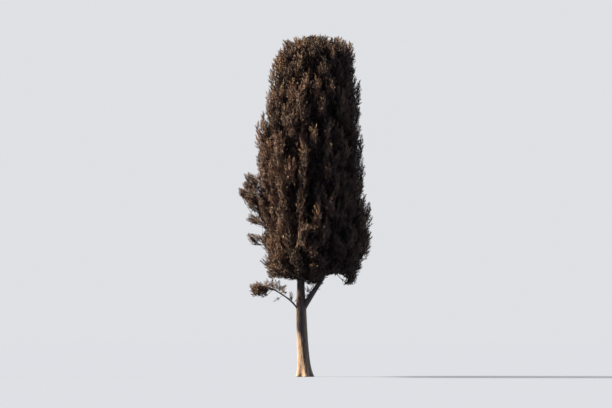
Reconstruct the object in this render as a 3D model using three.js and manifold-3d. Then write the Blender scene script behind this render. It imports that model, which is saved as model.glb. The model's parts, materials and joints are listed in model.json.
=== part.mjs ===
// A pencil cypress that stands alone: a clear trunk, steep boughs that turn upright, and a dense
// blunt-topped column of foliage with a few shoots that stray from its left side and its foot.
// Millimetres. +Z is up, +X is the tree's right as it is seen, and -Y faces the viewer.
// The origin is the centre of the flat cut under the trunk, at ground level.
import * as THREE from "three";
import { mergeVertices } from "three/addons/utils/BufferGeometryUtils.js";
import Module from "manifold-3d";

const wasm = await Module();
wasm.setup();

// The trunk: its thickness, how it thins above the low right bough, its flare into the roots, and the
// way it leans.
const TREE_TOP = 12000;
const TRUNK_TIP = 10950;
const BREAST_HEIGHT = 1300;
const BREAST_RADIUS = 192;
const TIP_RADIUS = 24;
const TRUNK_TAPER = 0.86;
const FORK_HEIGHT = 2300;
const FORK_LENGTH = 900;
const FORK_THINNING = 0.22;
const FLARE_RADIUS = 82;
const FLARE_HEIGHT = 330;
const ROOT_RIDGES = 5;
const ROOT_RIDGE_DEPTH = 0.2;
const LEAN_LEFT = 130;
const LEAN_HEIGHT = 3300;
const TOP_DRIFT_RIGHT = 450;
const SWAY_DEPTH = 55;
const SWAY_LENGTH = 2600;

// The crown's outline: widest low down, drawn in slowly, then rounded off at a blunt top.
const CROWN_FOOT = 3300;
const CROWN_FULL = 5000;
const CROWN_RADIUS = 1960;
const NECK_HEIGHT = 11200;
const NECK_RADIUS = 1440;
const DRAWN_IN = 2.5;
const FOOT_ROUNDNESS = 4;
const TOP_ROUNDNESS = 2.6;
const SHOULDER_LEFT = 850;
const SHOULDER_RIGHT = 320;
const AXIS_SHIFT = 300;
const AXIS_SWAY = 110;
const AXIS_SWAY_LENGTH = 1100;
const AXIS_SWAY_HEIGHT = 4600;

// Places where the crown's side swells out of its outline, or draws in: the height and the side of
// the middle, how far it rises, and how tall and how wide it is, in millimetres and degrees.
const SWELLS = [
  { z: 6560, turn: 180, rise: 500, tall: 350, wide: 22 },
  { z: 5500, turn: 185, rise: 470, tall: 175, wide: 15 },
  { z: 4880, turn: 176, rise: 400, tall: 165, wide: 15 },
  { z: 4450, turn: 180, rise: -220, tall: 210, wide: 26 },
  { z: 6560, turn: 0, rise: -140, tall: 320, wide: 24 },
  { z: 8620, turn: 181, rise: 120, tall: 380, wide: 24 },
  { z: 8520, turn: 2, rise: 110, tall: 380, wide: 22 },
  { z: 11150, turn: 0, rise: -130, tall: 520, wide: 42 },
  { z: 4000, turn: 8, rise: -300, tall: 520, wide: 38 },
  { z: 7400, turn: 266, rise: 110, tall: 620, wide: 22 },
  { z: 5300, turn: 86, rise: 100, tall: 700, wide: 26 },
];

// The masses of foliage climb round the trunk in a spiral. Each has its own cell of the crown.
const MASS_COUNT = 18;
const FIRST_MASS_HEIGHT = 4150;
const LAST_MASS_HEIGHT = 10650;
const FIRST_MASS_TURN = -8;
const GOLDEN_TURN = 137.508;
const MASS_CENTRE_SHARE = 0.53;
const MASS_REACH = 1.02;
const MASS_REACH_SPREAD = 0.06;
const CELL_UPRIGHTNESS = 0.55;
const CELL_GAP = 16;
const CORE_SHARE = 0.82;
const CORE_TO_TRUNK = 55;
const CORE_TO_BOUGH = 30;
const TUFT_CORE_SHARE = 0.32;
const LEADER_CENTRE_HEIGHT = 11330;

// The boughs leave the trunk steeply and run on inside the foliage as stems.
const BOUGH_RISE = 1500;
const STEM_RISE = 1230;
const STEM_TOP_SHARE = 0.58;
const STEM_TO_WALL = 10;
const STEM_UNDER_TOP = 480;
const LOWEST_BOUGH_RADIUS = 74;
const HIGHEST_BOUGH_RADIUS = 44;
const STEM_TIP_RADIUS = 17;
const LIMB_TAPER = 0.8;
const LIMB_SIDES = 8;
const TOUCH_GAP = 0.3;
const EDGE_TOLERANCE = 0.08;

// The twigs and their sprays, each of which stands for a plume of small shoots.
const TARGET_COUNT = 196;
const TWIG_RADIUS = 24;
const TWIG_TIP_RADIUS = 14;
const TWIG_STEEPNESS = 1.25;
const SPRAY_LENGTH = 760;
const SPRAY_SPREAD = 12.5;
const SPRAY_THICKNESS = 0.07;
const SPRAY_ROOT = 90;
const SPRAY_TO_LIMB = 30;
const SIDE_SPRAY_TURN = 34;
const SMALLEST_SPRAY = 0.5;
const SHOOT_LEAN = 0.16;
const SHOOT_LEAN_SPREAD = 0.16;
const SHOOT_SIDE_SPREAD = 0.4;
const FOOT_SHOOT_LEAN = 0.5;
const FOOT_SHOOT_DROOP = 0.55;

// The low right bough is stout and steep, and leaves the trunk like a fork.
const LOW_RIGHT_MIDDLE = new THREE.Vector3(1020, -90, 4150);
const LOW_RIGHT_RADIUS = 104;

// The low left bough is thin, almost bare, and carries a tuft well clear of the crown.
const LOW_LEFT_START = 2150;
const LOW_LEFT_MIDDLE = new THREE.Vector3(-800, -60, 2880);
const LOW_LEFT_END = new THREE.Vector3(-1790, -130, 3230);
const LOW_LEFT_CENTRE = new THREE.Vector3(-1640, -120, 3110);
const LOW_LEFT_REACH = 370;
const LOW_LEFT_SPRAYS = 8;
const LOW_LEFT_RADIUS = 38;
const LOW_LEFT_TIP_RADIUS = 13;

// Shoots that stray out of the crown's outline, by the point that each one reaches.
const STRAYS = [
  new THREE.Vector3(-2380, -120, 6560),
  new THREE.Vector3(-2230, 210, 6820),
  new THREE.Vector3(-2170, -400, 6330),
  new THREE.Vector3(-2190, -60, 7090),
  new THREE.Vector3(-2110, -140, 5620),
  new THREE.Vector3(-2020, 100, 5010),
  new THREE.Vector3(-1720, -260, 8420),
  new THREE.Vector3(2060, 90, 8360),
  new THREE.Vector3(-1060, 60, 11420),
  new THREE.Vector3(1930, -90, 3700),
  new THREE.Vector3(560, 2050, 6100),
  new THREE.Vector3(120, -2080, 5200),
];
const STRAY_SPRAYS = 3;
const STRAY_SPRAY_LENGTH = 640;
const STRAY_STEP_BACK = 90;
const STRAY_STEP_DOWN = 170;
const STRAY_SPREAD = 260;

// Open places in the crown's edge, by their middles and half sizes: no spray reaches into them.
const GAPS = [
  { middle: new THREE.Vector3(-1800, 0, 5170), half: new THREE.Vector3(450, 1500, 140) },
  { middle: new THREE.Vector3(1130, 0, 3400), half: new THREE.Vector3(270, 1700, 220) },
];

const BARK = new THREE.MeshStandardMaterial({ color: 0x8a7460, roughness: 0.95, metalness: 0 });
const FOLIAGE = new THREE.MeshStandardMaterial({ color: 0x3f3826, roughness: 0.9, metalness: 0 });

const UP = new THREE.Vector3(0, 0, 1);
const radians = THREE.MathUtils.degToRad;

// Repeatable numbers from 0 to 1, so that the same seed always grows the same tree.
function dice(seed) {
  let state = seed * 7919 + 17;
  return () => {
    state = (state * 16807) % 2147483647;
    return state / 2147483647;
  };
}

// The trunk's centre line and radius at a height.
function trunkCentre(z) {
  const lean = Math.sin((Math.min(z / LEAN_HEIGHT, 1) * Math.PI) / 2);
  const drift = THREE.MathUtils.smoothstep(z, LEAN_HEIGHT, TREE_TOP);
  const sway = SWAY_DEPTH * Math.sin(z / SWAY_LENGTH);
  return new THREE.Vector3(TOP_DRIFT_RIGHT * drift - LEAN_LEFT * lean, sway, z);
}

function trunkRadius(z) {
  const share = Math.max(TRUNK_TIP - z, 0) / (TRUNK_TIP - BREAST_HEIGHT);
  const kept = 1 - FORK_THINNING * THREE.MathUtils.smoothstep(z, FORK_HEIGHT, FORK_HEIGHT + FORK_LENGTH);
  return TIP_RADIUS + (BREAST_RADIUS - TIP_RADIUS) * kept * share ** TRUNK_TAPER;
}

// The crown's radius at a height, on the side that an angle faces. Its axis is a little right of the foot.
function crownCentre(z) {
  return new THREE.Vector3(AXIS_SHIFT + AXIS_SWAY * Math.cos((z - AXIS_SWAY_HEIGHT) / AXIS_SWAY_LENGTH), 0, z);
}

function crownRadius(z, angle) {
  if (z <= CROWN_FOOT || z >= TREE_TOP) return 0;
  const drawn = Math.max(0, (z - CROWN_FULL) / (NECK_HEIGHT - CROWN_FULL));
  const width = CROWN_RADIUS - (CROWN_RADIUS - NECK_RADIUS) * Math.min(drawn, 1.15) ** DRAWN_IN;
  const rise = Math.min(1, (z - CROWN_FOOT) / (CROWN_FULL - CROWN_FOOT));
  const foot = (1 - (1 - rise) ** FOOT_ROUNDNESS) ** (1 / FOOT_ROUNDNESS);
  const side = 0.5 + 0.5 * Math.cos(angle);
  const shoulder = SHOULDER_LEFT + (SHOULDER_RIGHT - SHOULDER_LEFT) * side;
  const into = Math.max(0, (z - (TREE_TOP - shoulder)) / shoulder);
  const top = (1 - into ** TOP_ROUNDNESS) ** (1 / TOP_ROUNDNESS);
  return width * foot * top + swellAt(z, angle);
}

// How far the swells push the crown's side out at a height, on the side that an angle faces.
function swellAt(z, angle) {
  return SWELLS.reduce((sum, { turn, rise, tall, wide, ...middle }) => {
    const up = (z - middle.z) / tall;
    const round = (1 - Math.cos(angle - radians(turn))) / (1 - Math.cos(radians(wide)));
    return sum + rise * Math.exp(-up * up - round);
  }, 0);
}

// True where a point is inside the crown drawn in to a share of its width.
function insideCrown(point, share) {
  const centre = crownCentre(point.z);
  const x = point.x - centre.x;
  const y = point.y - centre.y;
  const middle = (CROWN_FOOT + TREE_TOP) / 2;
  const z = middle + (point.z - middle) / (0.5 + 0.5 * share);
  return Math.hypot(x, y) <= share * crownRadius(z, Math.atan2(y, x));
}

// Solids, from closed geometry and back.
function solidOf(geometry) {
  const bare = geometry.clone();
  bare.deleteAttribute("normal");
  bare.deleteAttribute("uv");
  const merged = mergeVertices(bare, 1e-3);
  return new wasm.Manifold(
    new wasm.Mesh({
      numProp: 3,
      vertProperties: new Float32Array(merged.attributes.position.array),
      triVerts: new Uint32Array(merged.index.array),
    }),
  );
}

function geometryOf(solid) {
  const mesh = solid.getMesh();
  return new THREE.BufferGeometry()
    .setAttribute("position", new THREE.BufferAttribute(new Float32Array(mesh.vertProperties), 3))
    .setIndex(new THREE.BufferAttribute(new Uint32Array(mesh.triVerts), 1));
}

// The largest closed body of a solid, without loose scraps, sealed hollows and needless edges.
function wholeBody(solid) {
  const body = solid.decompose().reduce((best, other) => (other.volume() > best.volume() ? other : best));
  return body.asOriginal().simplify(EDGE_TOLERANCE);
}

// A closed tube through rings of points, which all have the same number of points.
function ringsGeometry(rings) {
  const sides = rings[0].length;
  const points = rings.flat();
  const faces = [];
  for (let r = 0; r + 1 < rings.length; r++)
    for (let s = 0; s < sides; s++) {
      const a = r * sides + s;
      const b = r * sides + ((s + 1) % sides);
      faces.push(a, b, b + sides, a, b + sides, a + sides);
    }
  const last = (rings.length - 1) * sides;
  for (let s = 1; s + 1 < sides; s++) {
    faces.push(0, s + 1, s);
    faces.push(last, last + s, last + s + 1);
  }
  return new THREE.BufferGeometry().setFromPoints(points).setIndex(faces);
}

// The trunk, lofted from level rings. Its foot flares into ridges that run into the roots.
function trunkGeometry(grow) {
  const sides = 15;
  const heights = [0, 70, 170, 310, 500, 780, 1150, 1650, 2300, 3000, 3800, 4800, 5900, 7100, 8400, 9700, TRUNK_TIP];
  const grown = grow / Math.cos(Math.PI / sides);
  const bottom = grow > 0 ? -grow : 0;
  const rings = heights.map((z, level) => {
    const centre = trunkCentre(z);
    const fall = Math.exp(-z / FLARE_HEIGHT);
    const height = level === 0 ? bottom : level === heights.length - 1 ? z + grow : z;
    return Array.from({ length: sides }, (_, s) => {
      const angle = (s * 2 * Math.PI) / sides;
      const ridge = 1 + ROOT_RIDGE_DEPTH * fall * Math.cos(ROOT_RIDGES * angle + 0.6);
      const radius = (trunkRadius(z) + FLARE_RADIUS * fall) * ridge + grown;
      return new THREE.Vector3(centre.x + radius * Math.cos(angle), centre.y + radius * Math.sin(angle), height);
    });
  });
  return ringsGeometry(rings);
}

// A curve that starts at one point, passes another half way, and ends at a third.
function limbCurve(from, through, to) {
  const bend = through.clone().multiplyScalar(2).sub(from.clone().add(to).multiplyScalar(0.5));
  return new THREE.QuadraticBezierCurve3(from, bend, to);
}

// A tapering limb along part of a curve, with flat ends.
function limbGeometry(limb, start, end, steps, grow) {
  const grown = grow / Math.cos(Math.PI / LIMB_SIDES);
  const rings = [];
  for (let i = 0; i <= steps; i++) {
    const t = start + ((end - start) * i) / steps;
    const along = limb.curve.getTangent(t);
    const across = new THREE.Vector3().crossVectors(UP, limb.outward).normalize();
    const inward = new THREE.Vector3().crossVectors(along, across).normalize();
    const centre = limb.curve.getPoint(t);
    const radius = limbRadius(limb, t) + grown;
    rings.push(
      Array.from({ length: LIMB_SIDES }, (_, s) => {
        const angle = (s * 2 * Math.PI) / LIMB_SIDES;
        return centre
          .clone()
          .addScaledVector(across, -radius * Math.cos(angle))
          .addScaledVector(inward, -radius * Math.sin(angle));
      }),
    );
  }
  return ringsGeometry(rings);
}

function limbRadius(limb, t) {
  return limb.thick + (limb.thin - limb.thick) * t ** LIMB_TAPER;
}

// The masses, from the lowest to the highest, each with the limb that carries it.
function spiralMass(index) {
  const share = index / (MASS_COUNT - 1);
  const z = FIRST_MASS_HEIGHT + (LAST_MASS_HEIGHT - FIRST_MASS_HEIGHT) * share;
  const angle = radians(FIRST_MASS_TURN + index * GOLDEN_TURN);
  const outward = new THREE.Vector3(Math.cos(angle), Math.sin(angle), 0);
  const centre = crownCentre(z).addScaledVector(outward, MASS_CENTRE_SHARE * crownRadius(z, angle));
  const top = Math.min(z + STEM_RISE, TREE_TOP - STEM_UNDER_TOP);
  const end = crownCentre(top).addScaledVector(outward, STEM_TOP_SHARE * crownRadius(top, angle));
  return {
    name: String(index + 1).padStart(2, "0"),
    centre,
    reach: MASS_REACH - MASS_REACH_SPREAD * dice(index + 3)(),
    limb: {
      curve: limbCurve(trunkCentre(z - BOUGH_RISE), centre, end),
      outward,
      thick: THREE.MathUtils.lerp(LOWEST_BOUGH_RADIUS, HIGHEST_BOUGH_RADIUS, share),
      thin: STEM_TIP_RADIUS,
    },
  };
}

const masses = Array.from({ length: MASS_COUNT }, (_, index) => spiralMass(index));
const lowRight = masses[0];
lowRight.boughName = "low_right_bough";
lowRight.limb.curve = limbCurve(trunkCentre(FORK_HEIGHT), LOW_RIGHT_MIDDLE, lowRight.limb.curve.v2);
lowRight.limb.thick = LOW_RIGHT_RADIUS;
const leader = {
  name: "top",
  centre: trunkCentre(LEADER_CENTRE_HEIGHT),
  reach: 1,
  onTrunk: true,
  limb: {
    curve: limbCurve(
      trunkCentre(TRUNK_TIP + TOUCH_GAP),
      trunkCentre((TRUNK_TIP + TREE_TOP) / 2 - 100),
      trunkCentre(TREE_TOP - STEM_UNDER_TOP),
    ),
    outward: new THREE.Vector3(1, 0, 0),
    thick: TIP_RADIUS,
    thin: STEM_TIP_RADIUS,
  },
};
const lowLeft = {
  name: "low_left",
  boughName: "low_left_bough",
  centre: LOW_LEFT_CENTRE,
  reach: 1,
  tuftReach: LOW_LEFT_REACH,
  limb: {
    curve: limbCurve(trunkCentre(LOW_LEFT_START), LOW_LEFT_MIDDLE, LOW_LEFT_END),
    outward: new THREE.Vector3(-1, 0, 0),
    thick: LOW_LEFT_RADIUS,
    thin: LOW_LEFT_TIP_RADIUS,
  },
};
masses.push(leader, lowLeft);

// The flat walls of a mass's cell, half way to each neighbour, or at the reach of a tuft. Distances
// are weighed so that the cells stand upright.
function cellWalls(mass) {
  const weight = new THREE.Vector3(1, 1, CELL_UPRIGHTNESS ** 2);
  return masses
    .filter((other) => other !== mass)
    .map((other) => {
      const toOther = other.centre.clone().sub(mass.centre);
      let wall = toOther.length() / 2;
      if (mass.tuftReach) wall = mass.tuftReach;
      if (other.tuftReach) wall = toOther.length() - other.tuftReach;
      const point = mass.centre.clone().addScaledVector(toOther.clone().normalize(), wall);
      return new THREE.Plane().setFromNormalAndCoplanarPoint(toOther.multiply(weight).normalize(), point);
    });
}

// How far inside its cell a point is: the distance to the nearest wall, below 0 outside.
function depthInCell(mass, point) {
  return Math.min(...mass.walls.map((wall) => -wall.distanceToPoint(point)));
}

for (const mass of masses) mass.walls = cellWalls(mass);

// The dense core of a mass: a lobe that fills its cell up to a share of the crown's width.
function insideCore(mass, point) {
  if (depthInCell(mass, point) < CELL_GAP) return false;
  if (mass.tuftReach) return point.distanceTo(mass.centre) < TUFT_CORE_SHARE * mass.tuftReach;
  if (!insideCrown(point, CORE_SHARE * mass.reach)) return false;
  if (mass.onTrunk) return true;
  const fromTrunk = point.clone().sub(trunkCentre(point.z)).dot(mass.limb.outward);
  return fromTrunk > trunkRadius(point.z) + CORE_TO_TRUNK;
}

// How far a line from the centre runs before it leaves the core.
function coreReach(mass, direction) {
  let low = 0;
  let high = 3000;
  for (let i = 0; i < 16; i++) {
    const half = (low + high) / 2;
    if (insideCore(mass, mass.centre.clone().addScaledVector(direction, half))) low = half;
    else high = half;
  }
  return low;
}

function coreGeometry(mass) {
  const ball = new THREE.IcosahedronGeometry(1, mass.tuftReach || mass.onTrunk ? 0 : 1);
  ball.rotateZ(mass.centre.z);
  const position = ball.getAttribute("position");
  const point = new THREE.Vector3();
  for (let i = 0; i < position.count; i++) {
    point.fromBufferAttribute(position, i).normalize();
    const reach = coreReach(mass, point);
    point.multiplyScalar(reach).add(mass.centre);
    position.setXYZ(i, point.x, point.y, point.z);
  }
  return ball;
}

// True where a limb at a point of its curve keeps to its mass's cell.
function limbInCell(mass, t) {
  return depthInCell(mass, mass.limb.curve.getPoint(t)) > limbRadius(mass.limb, t) + STEM_TO_WALL;
}

// Where a limb's curve first enters its mass's core: the bough ends there, and the stem begins.
function entryOf(mass) {
  if (mass.onTrunk) return 0;
  let t = 0.08;
  while (t < 0.8 && !(limbInCell(mass, t) && insideCore(mass, mass.limb.curve.getPoint(t)))) t += 0.01;
  return t;
}

// The end of the stem: the curve's end, or the last point that keeps to the cell.
function stemEndOf(mass) {
  let t = mass.entry;
  while (t < 1 && limbInCell(mass, t + 0.01)) t += 0.01;
  return Math.min(t, 1);
}

for (const mass of masses) {
  mass.entry = entryOf(mass);
  mass.stemEnd = stemEndOf(mass);
}

// Points along the trunk and the boughs, which sprays and twigs keep away from.
const limbPoints = [];
for (let z = LOW_LEFT_START; z <= TRUNK_TIP; z += 60)
  limbPoints.push({ at: trunkCentre(z), radius: trunkRadius(z) });
for (const mass of masses)
  for (let t = 0; t < mass.entry; t += 0.03)
    limbPoints.push({ at: mass.limb.curve.getPoint(t), radius: limbRadius(mass.limb, t) });

function clearOfLimbs(point) {
  return limbPoints.every((limb) => limb.at.distanceTo(point) > limb.radius + SPRAY_TO_LIMB);
}

function clearOfGaps(point) {
  return GAPS.every((gap) => point.clone().sub(gap.middle).divide(gap.half).length() > 1);
}

// A spray: a thin blade with pointed teeth, one for each plume, which rise from one root.
function sprayPoints(teeth, length) {
  const half = (teeth - 1) / 2;
  const outline = [new THREE.Vector3(0, 0, 0)];
  for (let j = -half; j <= half; j++) {
    const angle = radians(SPRAY_SPREAD * j);
    const long = length * (1 - 0.15 * Math.abs(j));
    outline.push(new THREE.Vector3(long * Math.sin(angle), 0, long * Math.cos(angle)));
    if (j === half) break;
    const notch = radians(SPRAY_SPREAD * (j + 0.5));
    const deep = length * (0.55 - 0.07 * Math.abs(j + 0.5));
    outline.push(new THREE.Vector3(deep * Math.sin(notch), 0, deep * Math.cos(notch)));
  }
  const middle = length * 0.24;
  const thick = length * SPRAY_THICKNESS * 0.5;
  return [...outline, new THREE.Vector3(0, -thick, middle), new THREE.Vector3(0, thick, middle)];
}

function sprayGeometry(points) {
  const outline = points.length - 2;
  const faces = [];
  for (let i = 0; i < outline; i++) {
    const next = (i + 1) % outline;
    faces.push(next, i, outline);
    faces.push(i, next, outline + 1);
  }
  return new THREE.BufferGeometry().setFromPoints(points).setIndex(faces);
}

// A spray in its place, made smaller until it keeps to its mass's cell, or null where it can't.
function placedSpray(mass, root, direction, flat, teeth, length) {
  const side = new THREE.Vector3().crossVectors(flat, direction).normalize();
  const thick = new THREE.Vector3().crossVectors(direction, side).normalize();
  const frame = new THREE.Matrix4().makeBasis(side, thick, direction).setPosition(root);
  for (let scale = 1; scale >= SMALLEST_SPRAY; scale -= 0.1) {
    const points = sprayPoints(teeth, length * scale).map((p) => p.applyMatrix4(frame));
    const fits = points.every(
      (p) => depthInCell(mass, p) > CELL_GAP && p.z < TREE_TOP && clearOfGaps(p) && clearOfLimbs(p),
    );
    if (fits) return sprayGeometry(points);
  }
  return null;
}

// A three-sided twig from one point to another.
function twigGeometry(from, to) {
  const along = to.clone().sub(from);
  const geometry = new THREE.CylinderGeometry(TWIG_TIP_RADIUS, TWIG_RADIUS, along.length(), 3, 1);
  const turn = new THREE.Quaternion().setFromUnitVectors(new THREE.Vector3(0, 1, 0), along.normalize());
  return geometry.applyQuaternion(turn).translate(...from.clone().add(to).multiplyScalar(0.5));
}

// The point of a mass's stem from which a twig rises to a tip, at the twig's own steepness.
function stemFork(mass, tip) {
  let best = mass.limb.curve.getPoint(mass.entry + 0.04);
  let least = Infinity;
  for (let t = mass.entry + 0.04; t <= mass.stemEnd - 0.03; t += 0.03) {
    const point = mass.limb.curve.getPoint(t);
    const away = Math.hypot(tip.x - point.x, tip.y - point.y);
    const miss = Math.abs(tip.z - point.z - TWIG_STEEPNESS * away);
    if (miss < least) {
      least = miss;
      best = point;
    }
  }
  return best;
}

// Points spread evenly over the crown's surface, from under its foot to the middle of its top.
function crownTargets(count) {
  const steps = 400;
  const profile = [{ z: CROWN_FOOT + 60, area: 0 }];
  let area = 0;
  for (let i = 1; i <= steps; i++) {
    const z0 = CROWN_FOOT + 60 + ((TREE_TOP - CROWN_FOOT - 120) * (i - 1)) / steps;
    const z1 = z0 + (TREE_TOP - CROWN_FOOT - 120) / steps;
    const r0 = crownRadius(z0, Math.PI / 2);
    const r1 = crownRadius(z1, Math.PI / 2);
    area += (r0 + r1) * Math.hypot(r1 - r0, z1 - z0);
    profile.push({ z: z1, area });
  }
  const topArea = crownRadius(profile[steps].z, Math.PI / 2) ** 2;
  return Array.from({ length: count }, (_, i) => {
    const wanted = ((i + 0.5) / count) * (area + topArea);
    const angle = radians(i * GOLDEN_TURN);
    const step = profile.find((p) => p.area >= wanted) ?? profile[steps];
    const inward = wanted > area ? Math.sqrt(Math.max(0, 1 - (wanted - area) / topArea)) : 1;
    return { z: step.z, angle, radius: inward * crownRadius(step.z, angle) };
  });
}

// The way a shoot grows: upright, leaning outwards, and nearly level at the crown's foot.
function shootDirection(outward, z, roll) {
  const level = 1 - THREE.MathUtils.smoothstep(z, CROWN_FOOT, CROWN_FULL);
  const aside = new THREE.Vector3().crossVectors(UP, outward);
  return UP.clone()
    .multiplyScalar(1 - FOOT_SHOOT_DROOP * level)
    .addScaledVector(outward, SHOOT_LEAN + SHOOT_LEAN_SPREAD * roll() + FOOT_SHOOT_LEAN * level)
    .addScaledVector(aside, (roll() - 0.5) * SHOOT_SIDE_SPREAD)
    .normalize();
}

// One twig with its sprays. The spray's tip is the twig's target on the crown's outline.
function twigParts(mass, tip, direction, length, teeth, sideSprays, roll) {
  const outward = tip.clone().sub(crownCentre(tip.z)).setZ(0).normalize();
  const aslant = new THREE.Vector3().crossVectors(UP, outward);
  const flat = aslant.cross(direction).applyAxisAngle(direction, (roll() - 0.5) * 3);
  const root = tip.clone().addScaledVector(direction, -length);
  const spray = placedSpray(mass, root, direction, flat, teeth, length);
  if (!spray) return [];
  const end = root.clone().addScaledVector(direction, SPRAY_ROOT);
  const fork = stemFork(mass, root);
  if (depthInCell(mass, end) < CELL_GAP + TWIG_RADIUS) return [];
  const parts = [spray, twigGeometry(fork, end)];
  for (let i = 0; i < sideSprays; i++) {
    const turn = radians(SIDE_SPRAY_TURN) * (i % 2 ? -1 : 1);
    const aside = direction.clone().applyAxisAngle(flat, turn);
    const base = end.clone().lerp(fork, 0.16 + 0.2 * roll()).addScaledVector(aside, -0.4 * SPRAY_ROOT);
    const sideSpray = placedSpray(mass, base, aside, flat, 3, length * (0.72 + 0.16 * roll()));
    if (sideSpray) parts.push(sideSpray);
  }
  return parts;
}

function massOf(point) {
  return masses.reduce((best, mass) => (depthInCell(mass, point) > depthInCell(best, point) ? mass : best));
}

// All the twigs of the crown, dealt out to the masses whose cells they end in.
for (const mass of masses) mass.parts = [];
crownTargets(TARGET_COUNT).forEach((target, i) => {
  const roll = dice(i + 101);
  const centre = crownCentre(target.z);
  const outward = new THREE.Vector3(Math.cos(target.angle), Math.sin(target.angle), 0);
  const surface = centre.clone().addScaledVector(outward, target.radius);
  const mass = massOf(surface);
  if (mass.tuftReach) return;
  const depth = Math.min(1, depthInCell(mass, surface) / 350);
  const share = mass.reach * (0.95 + 0.06 * depth) * (0.95 + 0.07 * roll());
  const length = SPRAY_LENGTH * (0.8 + 0.35 * roll());
  const direction = shootDirection(outward, target.z, roll);
  const tip = centre.addScaledVector(outward, target.radius * share);
  tip.z = Math.max(tip.z, CROWN_FOOT + 40 + length * direction.z);
  tip.z = Math.min(tip.z, TREE_TOP - 5 - 240 * roll() ** 2);
  mass.parts.push(...twigParts(mass, tip, direction, length, 5, i % 2, roll));
});

// The strays: a few sprays that fan out from one side of the crown.
STRAYS.forEach((reach, i) => {
  const roll = dice(i + 501);
  const mass = massOf(reach);
  const outward = reach.clone().sub(crownCentre(reach.z)).setZ(0).normalize();
  const across = new THREE.Vector3().crossVectors(UP, outward);
  for (let k = 0; k < STRAY_SPRAYS; k++) {
    const tip = reach.clone().addScaledVector(outward, -STRAY_STEP_BACK * k);
    tip.addScaledVector(across, STRAY_SPREAD * (roll() - 0.5));
    tip.z -= STRAY_STEP_DOWN * k;
    const direction = outward.clone().addScaledVector(UP, 0.6 + 1.1 * roll()).normalize();
    mass.parts.push(...twigParts(mass, tip, direction, STRAY_SPRAY_LENGTH, 5, 0, roll));
  }
});

// The low left tuft: sprays on every side of a short end of twig, above it and hanging under it.
for (let k = 0; k < LOW_LEFT_SPRAYS; k++) {
  const roll = dice(k + 701);
  const angle = radians(180 + k * GOLDEN_TURN);
  const high = 1 - (2 * k + 1) / LOW_LEFT_SPRAYS;
  const level = Math.sqrt(1 - high * high);
  const direction = new THREE.Vector3(level * Math.cos(angle), level * Math.sin(angle), high);
  const tip = lowLeft.centre.clone().addScaledVector(direction, LOW_LEFT_REACH - 20);
  lowLeft.parts.push(...twigParts(lowLeft, tip, direction, LOW_LEFT_REACH * 1.25, 3, 0, roll));
}

// Limbs as solids: true to size, grown by the gap that touching pieces keep, and grown for the cores.
const trunk = solidOf(trunkGeometry(0));
const trunkGap = solidOf(trunkGeometry(TOUCH_GAP));
const boughMasses = masses.filter((mass) => !mass.onTrunk);

function boughSolid(mass, grow) {
  const longer = grow > 0 ? TOUCH_GAP / mass.limb.curve.getLength() : 0;
  return solidOf(limbGeometry(mass.limb, 0, mass.entry + longer, 7, grow));
}

for (const mass of boughMasses) mass.bough = wholeBody(boughSolid(mass, 0).subtract(trunkGap));
const boughGaps = wasm.Manifold.union(boughMasses.map((mass) => boughSolid(mass, TOUCH_GAP)));
const coreGaps = wasm.Manifold.union(boughMasses.map((mass) => boughSolid(mass, CORE_TO_BOUGH)));

// A mass of foliage: core, stem, twigs and sprays fused into one body, clear of every limb.
function foliageSolid(mass) {
  const stem = solidOf(limbGeometry(mass.limb, mass.entry, mass.stemEnd, 6, 0));
  const core = solidOf(coreGeometry(mass)).subtract(coreGaps);
  const fused = wasm.Manifold.union([core, stem, ...mass.parts.map(solidOf)]);
  return wholeBody(fused.subtract(trunkGap).subtract(boughGaps));
}

function named(name, solid, material) {
  const mesh = new THREE.Mesh(geometryOf(solid), material);
  mesh.name = name;
  return mesh;
}

const tree = new THREE.Group();
tree.add(named("trunk", trunk, BARK));
for (const mass of boughMasses) tree.add(named(mass.boughName ?? `bough_${mass.name}`, mass.bough, BARK));
for (const mass of masses) tree.add(named(`foliage_${mass.name}`, foliageSolid(mass), FOLIAGE));

export default tree;
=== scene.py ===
"""A pencil cypress that stands alone: a bare leaning trunk under a dense, blunt-topped crown.

Metres, +Z up, the foot of the trunk at the origin and the viewer on the -Y side.
"""
import json
import math

import bpy
import numpy as np
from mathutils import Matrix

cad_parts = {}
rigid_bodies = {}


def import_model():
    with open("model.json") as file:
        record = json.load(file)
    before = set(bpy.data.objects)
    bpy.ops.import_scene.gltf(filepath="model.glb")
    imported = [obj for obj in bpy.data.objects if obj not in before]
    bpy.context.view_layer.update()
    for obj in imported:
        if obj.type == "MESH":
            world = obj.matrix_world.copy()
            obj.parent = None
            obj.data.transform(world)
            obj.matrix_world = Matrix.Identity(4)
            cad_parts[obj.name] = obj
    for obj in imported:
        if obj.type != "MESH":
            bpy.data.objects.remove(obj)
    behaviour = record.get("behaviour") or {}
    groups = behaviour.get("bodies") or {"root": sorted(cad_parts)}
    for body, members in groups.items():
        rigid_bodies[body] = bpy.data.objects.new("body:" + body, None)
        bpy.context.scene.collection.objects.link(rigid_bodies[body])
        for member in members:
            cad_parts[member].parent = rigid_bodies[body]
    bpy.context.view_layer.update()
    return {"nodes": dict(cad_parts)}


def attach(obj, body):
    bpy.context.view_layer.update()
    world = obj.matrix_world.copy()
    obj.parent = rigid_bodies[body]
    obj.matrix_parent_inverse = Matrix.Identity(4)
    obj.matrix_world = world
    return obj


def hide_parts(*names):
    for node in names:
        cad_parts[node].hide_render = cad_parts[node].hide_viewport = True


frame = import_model()


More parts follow.
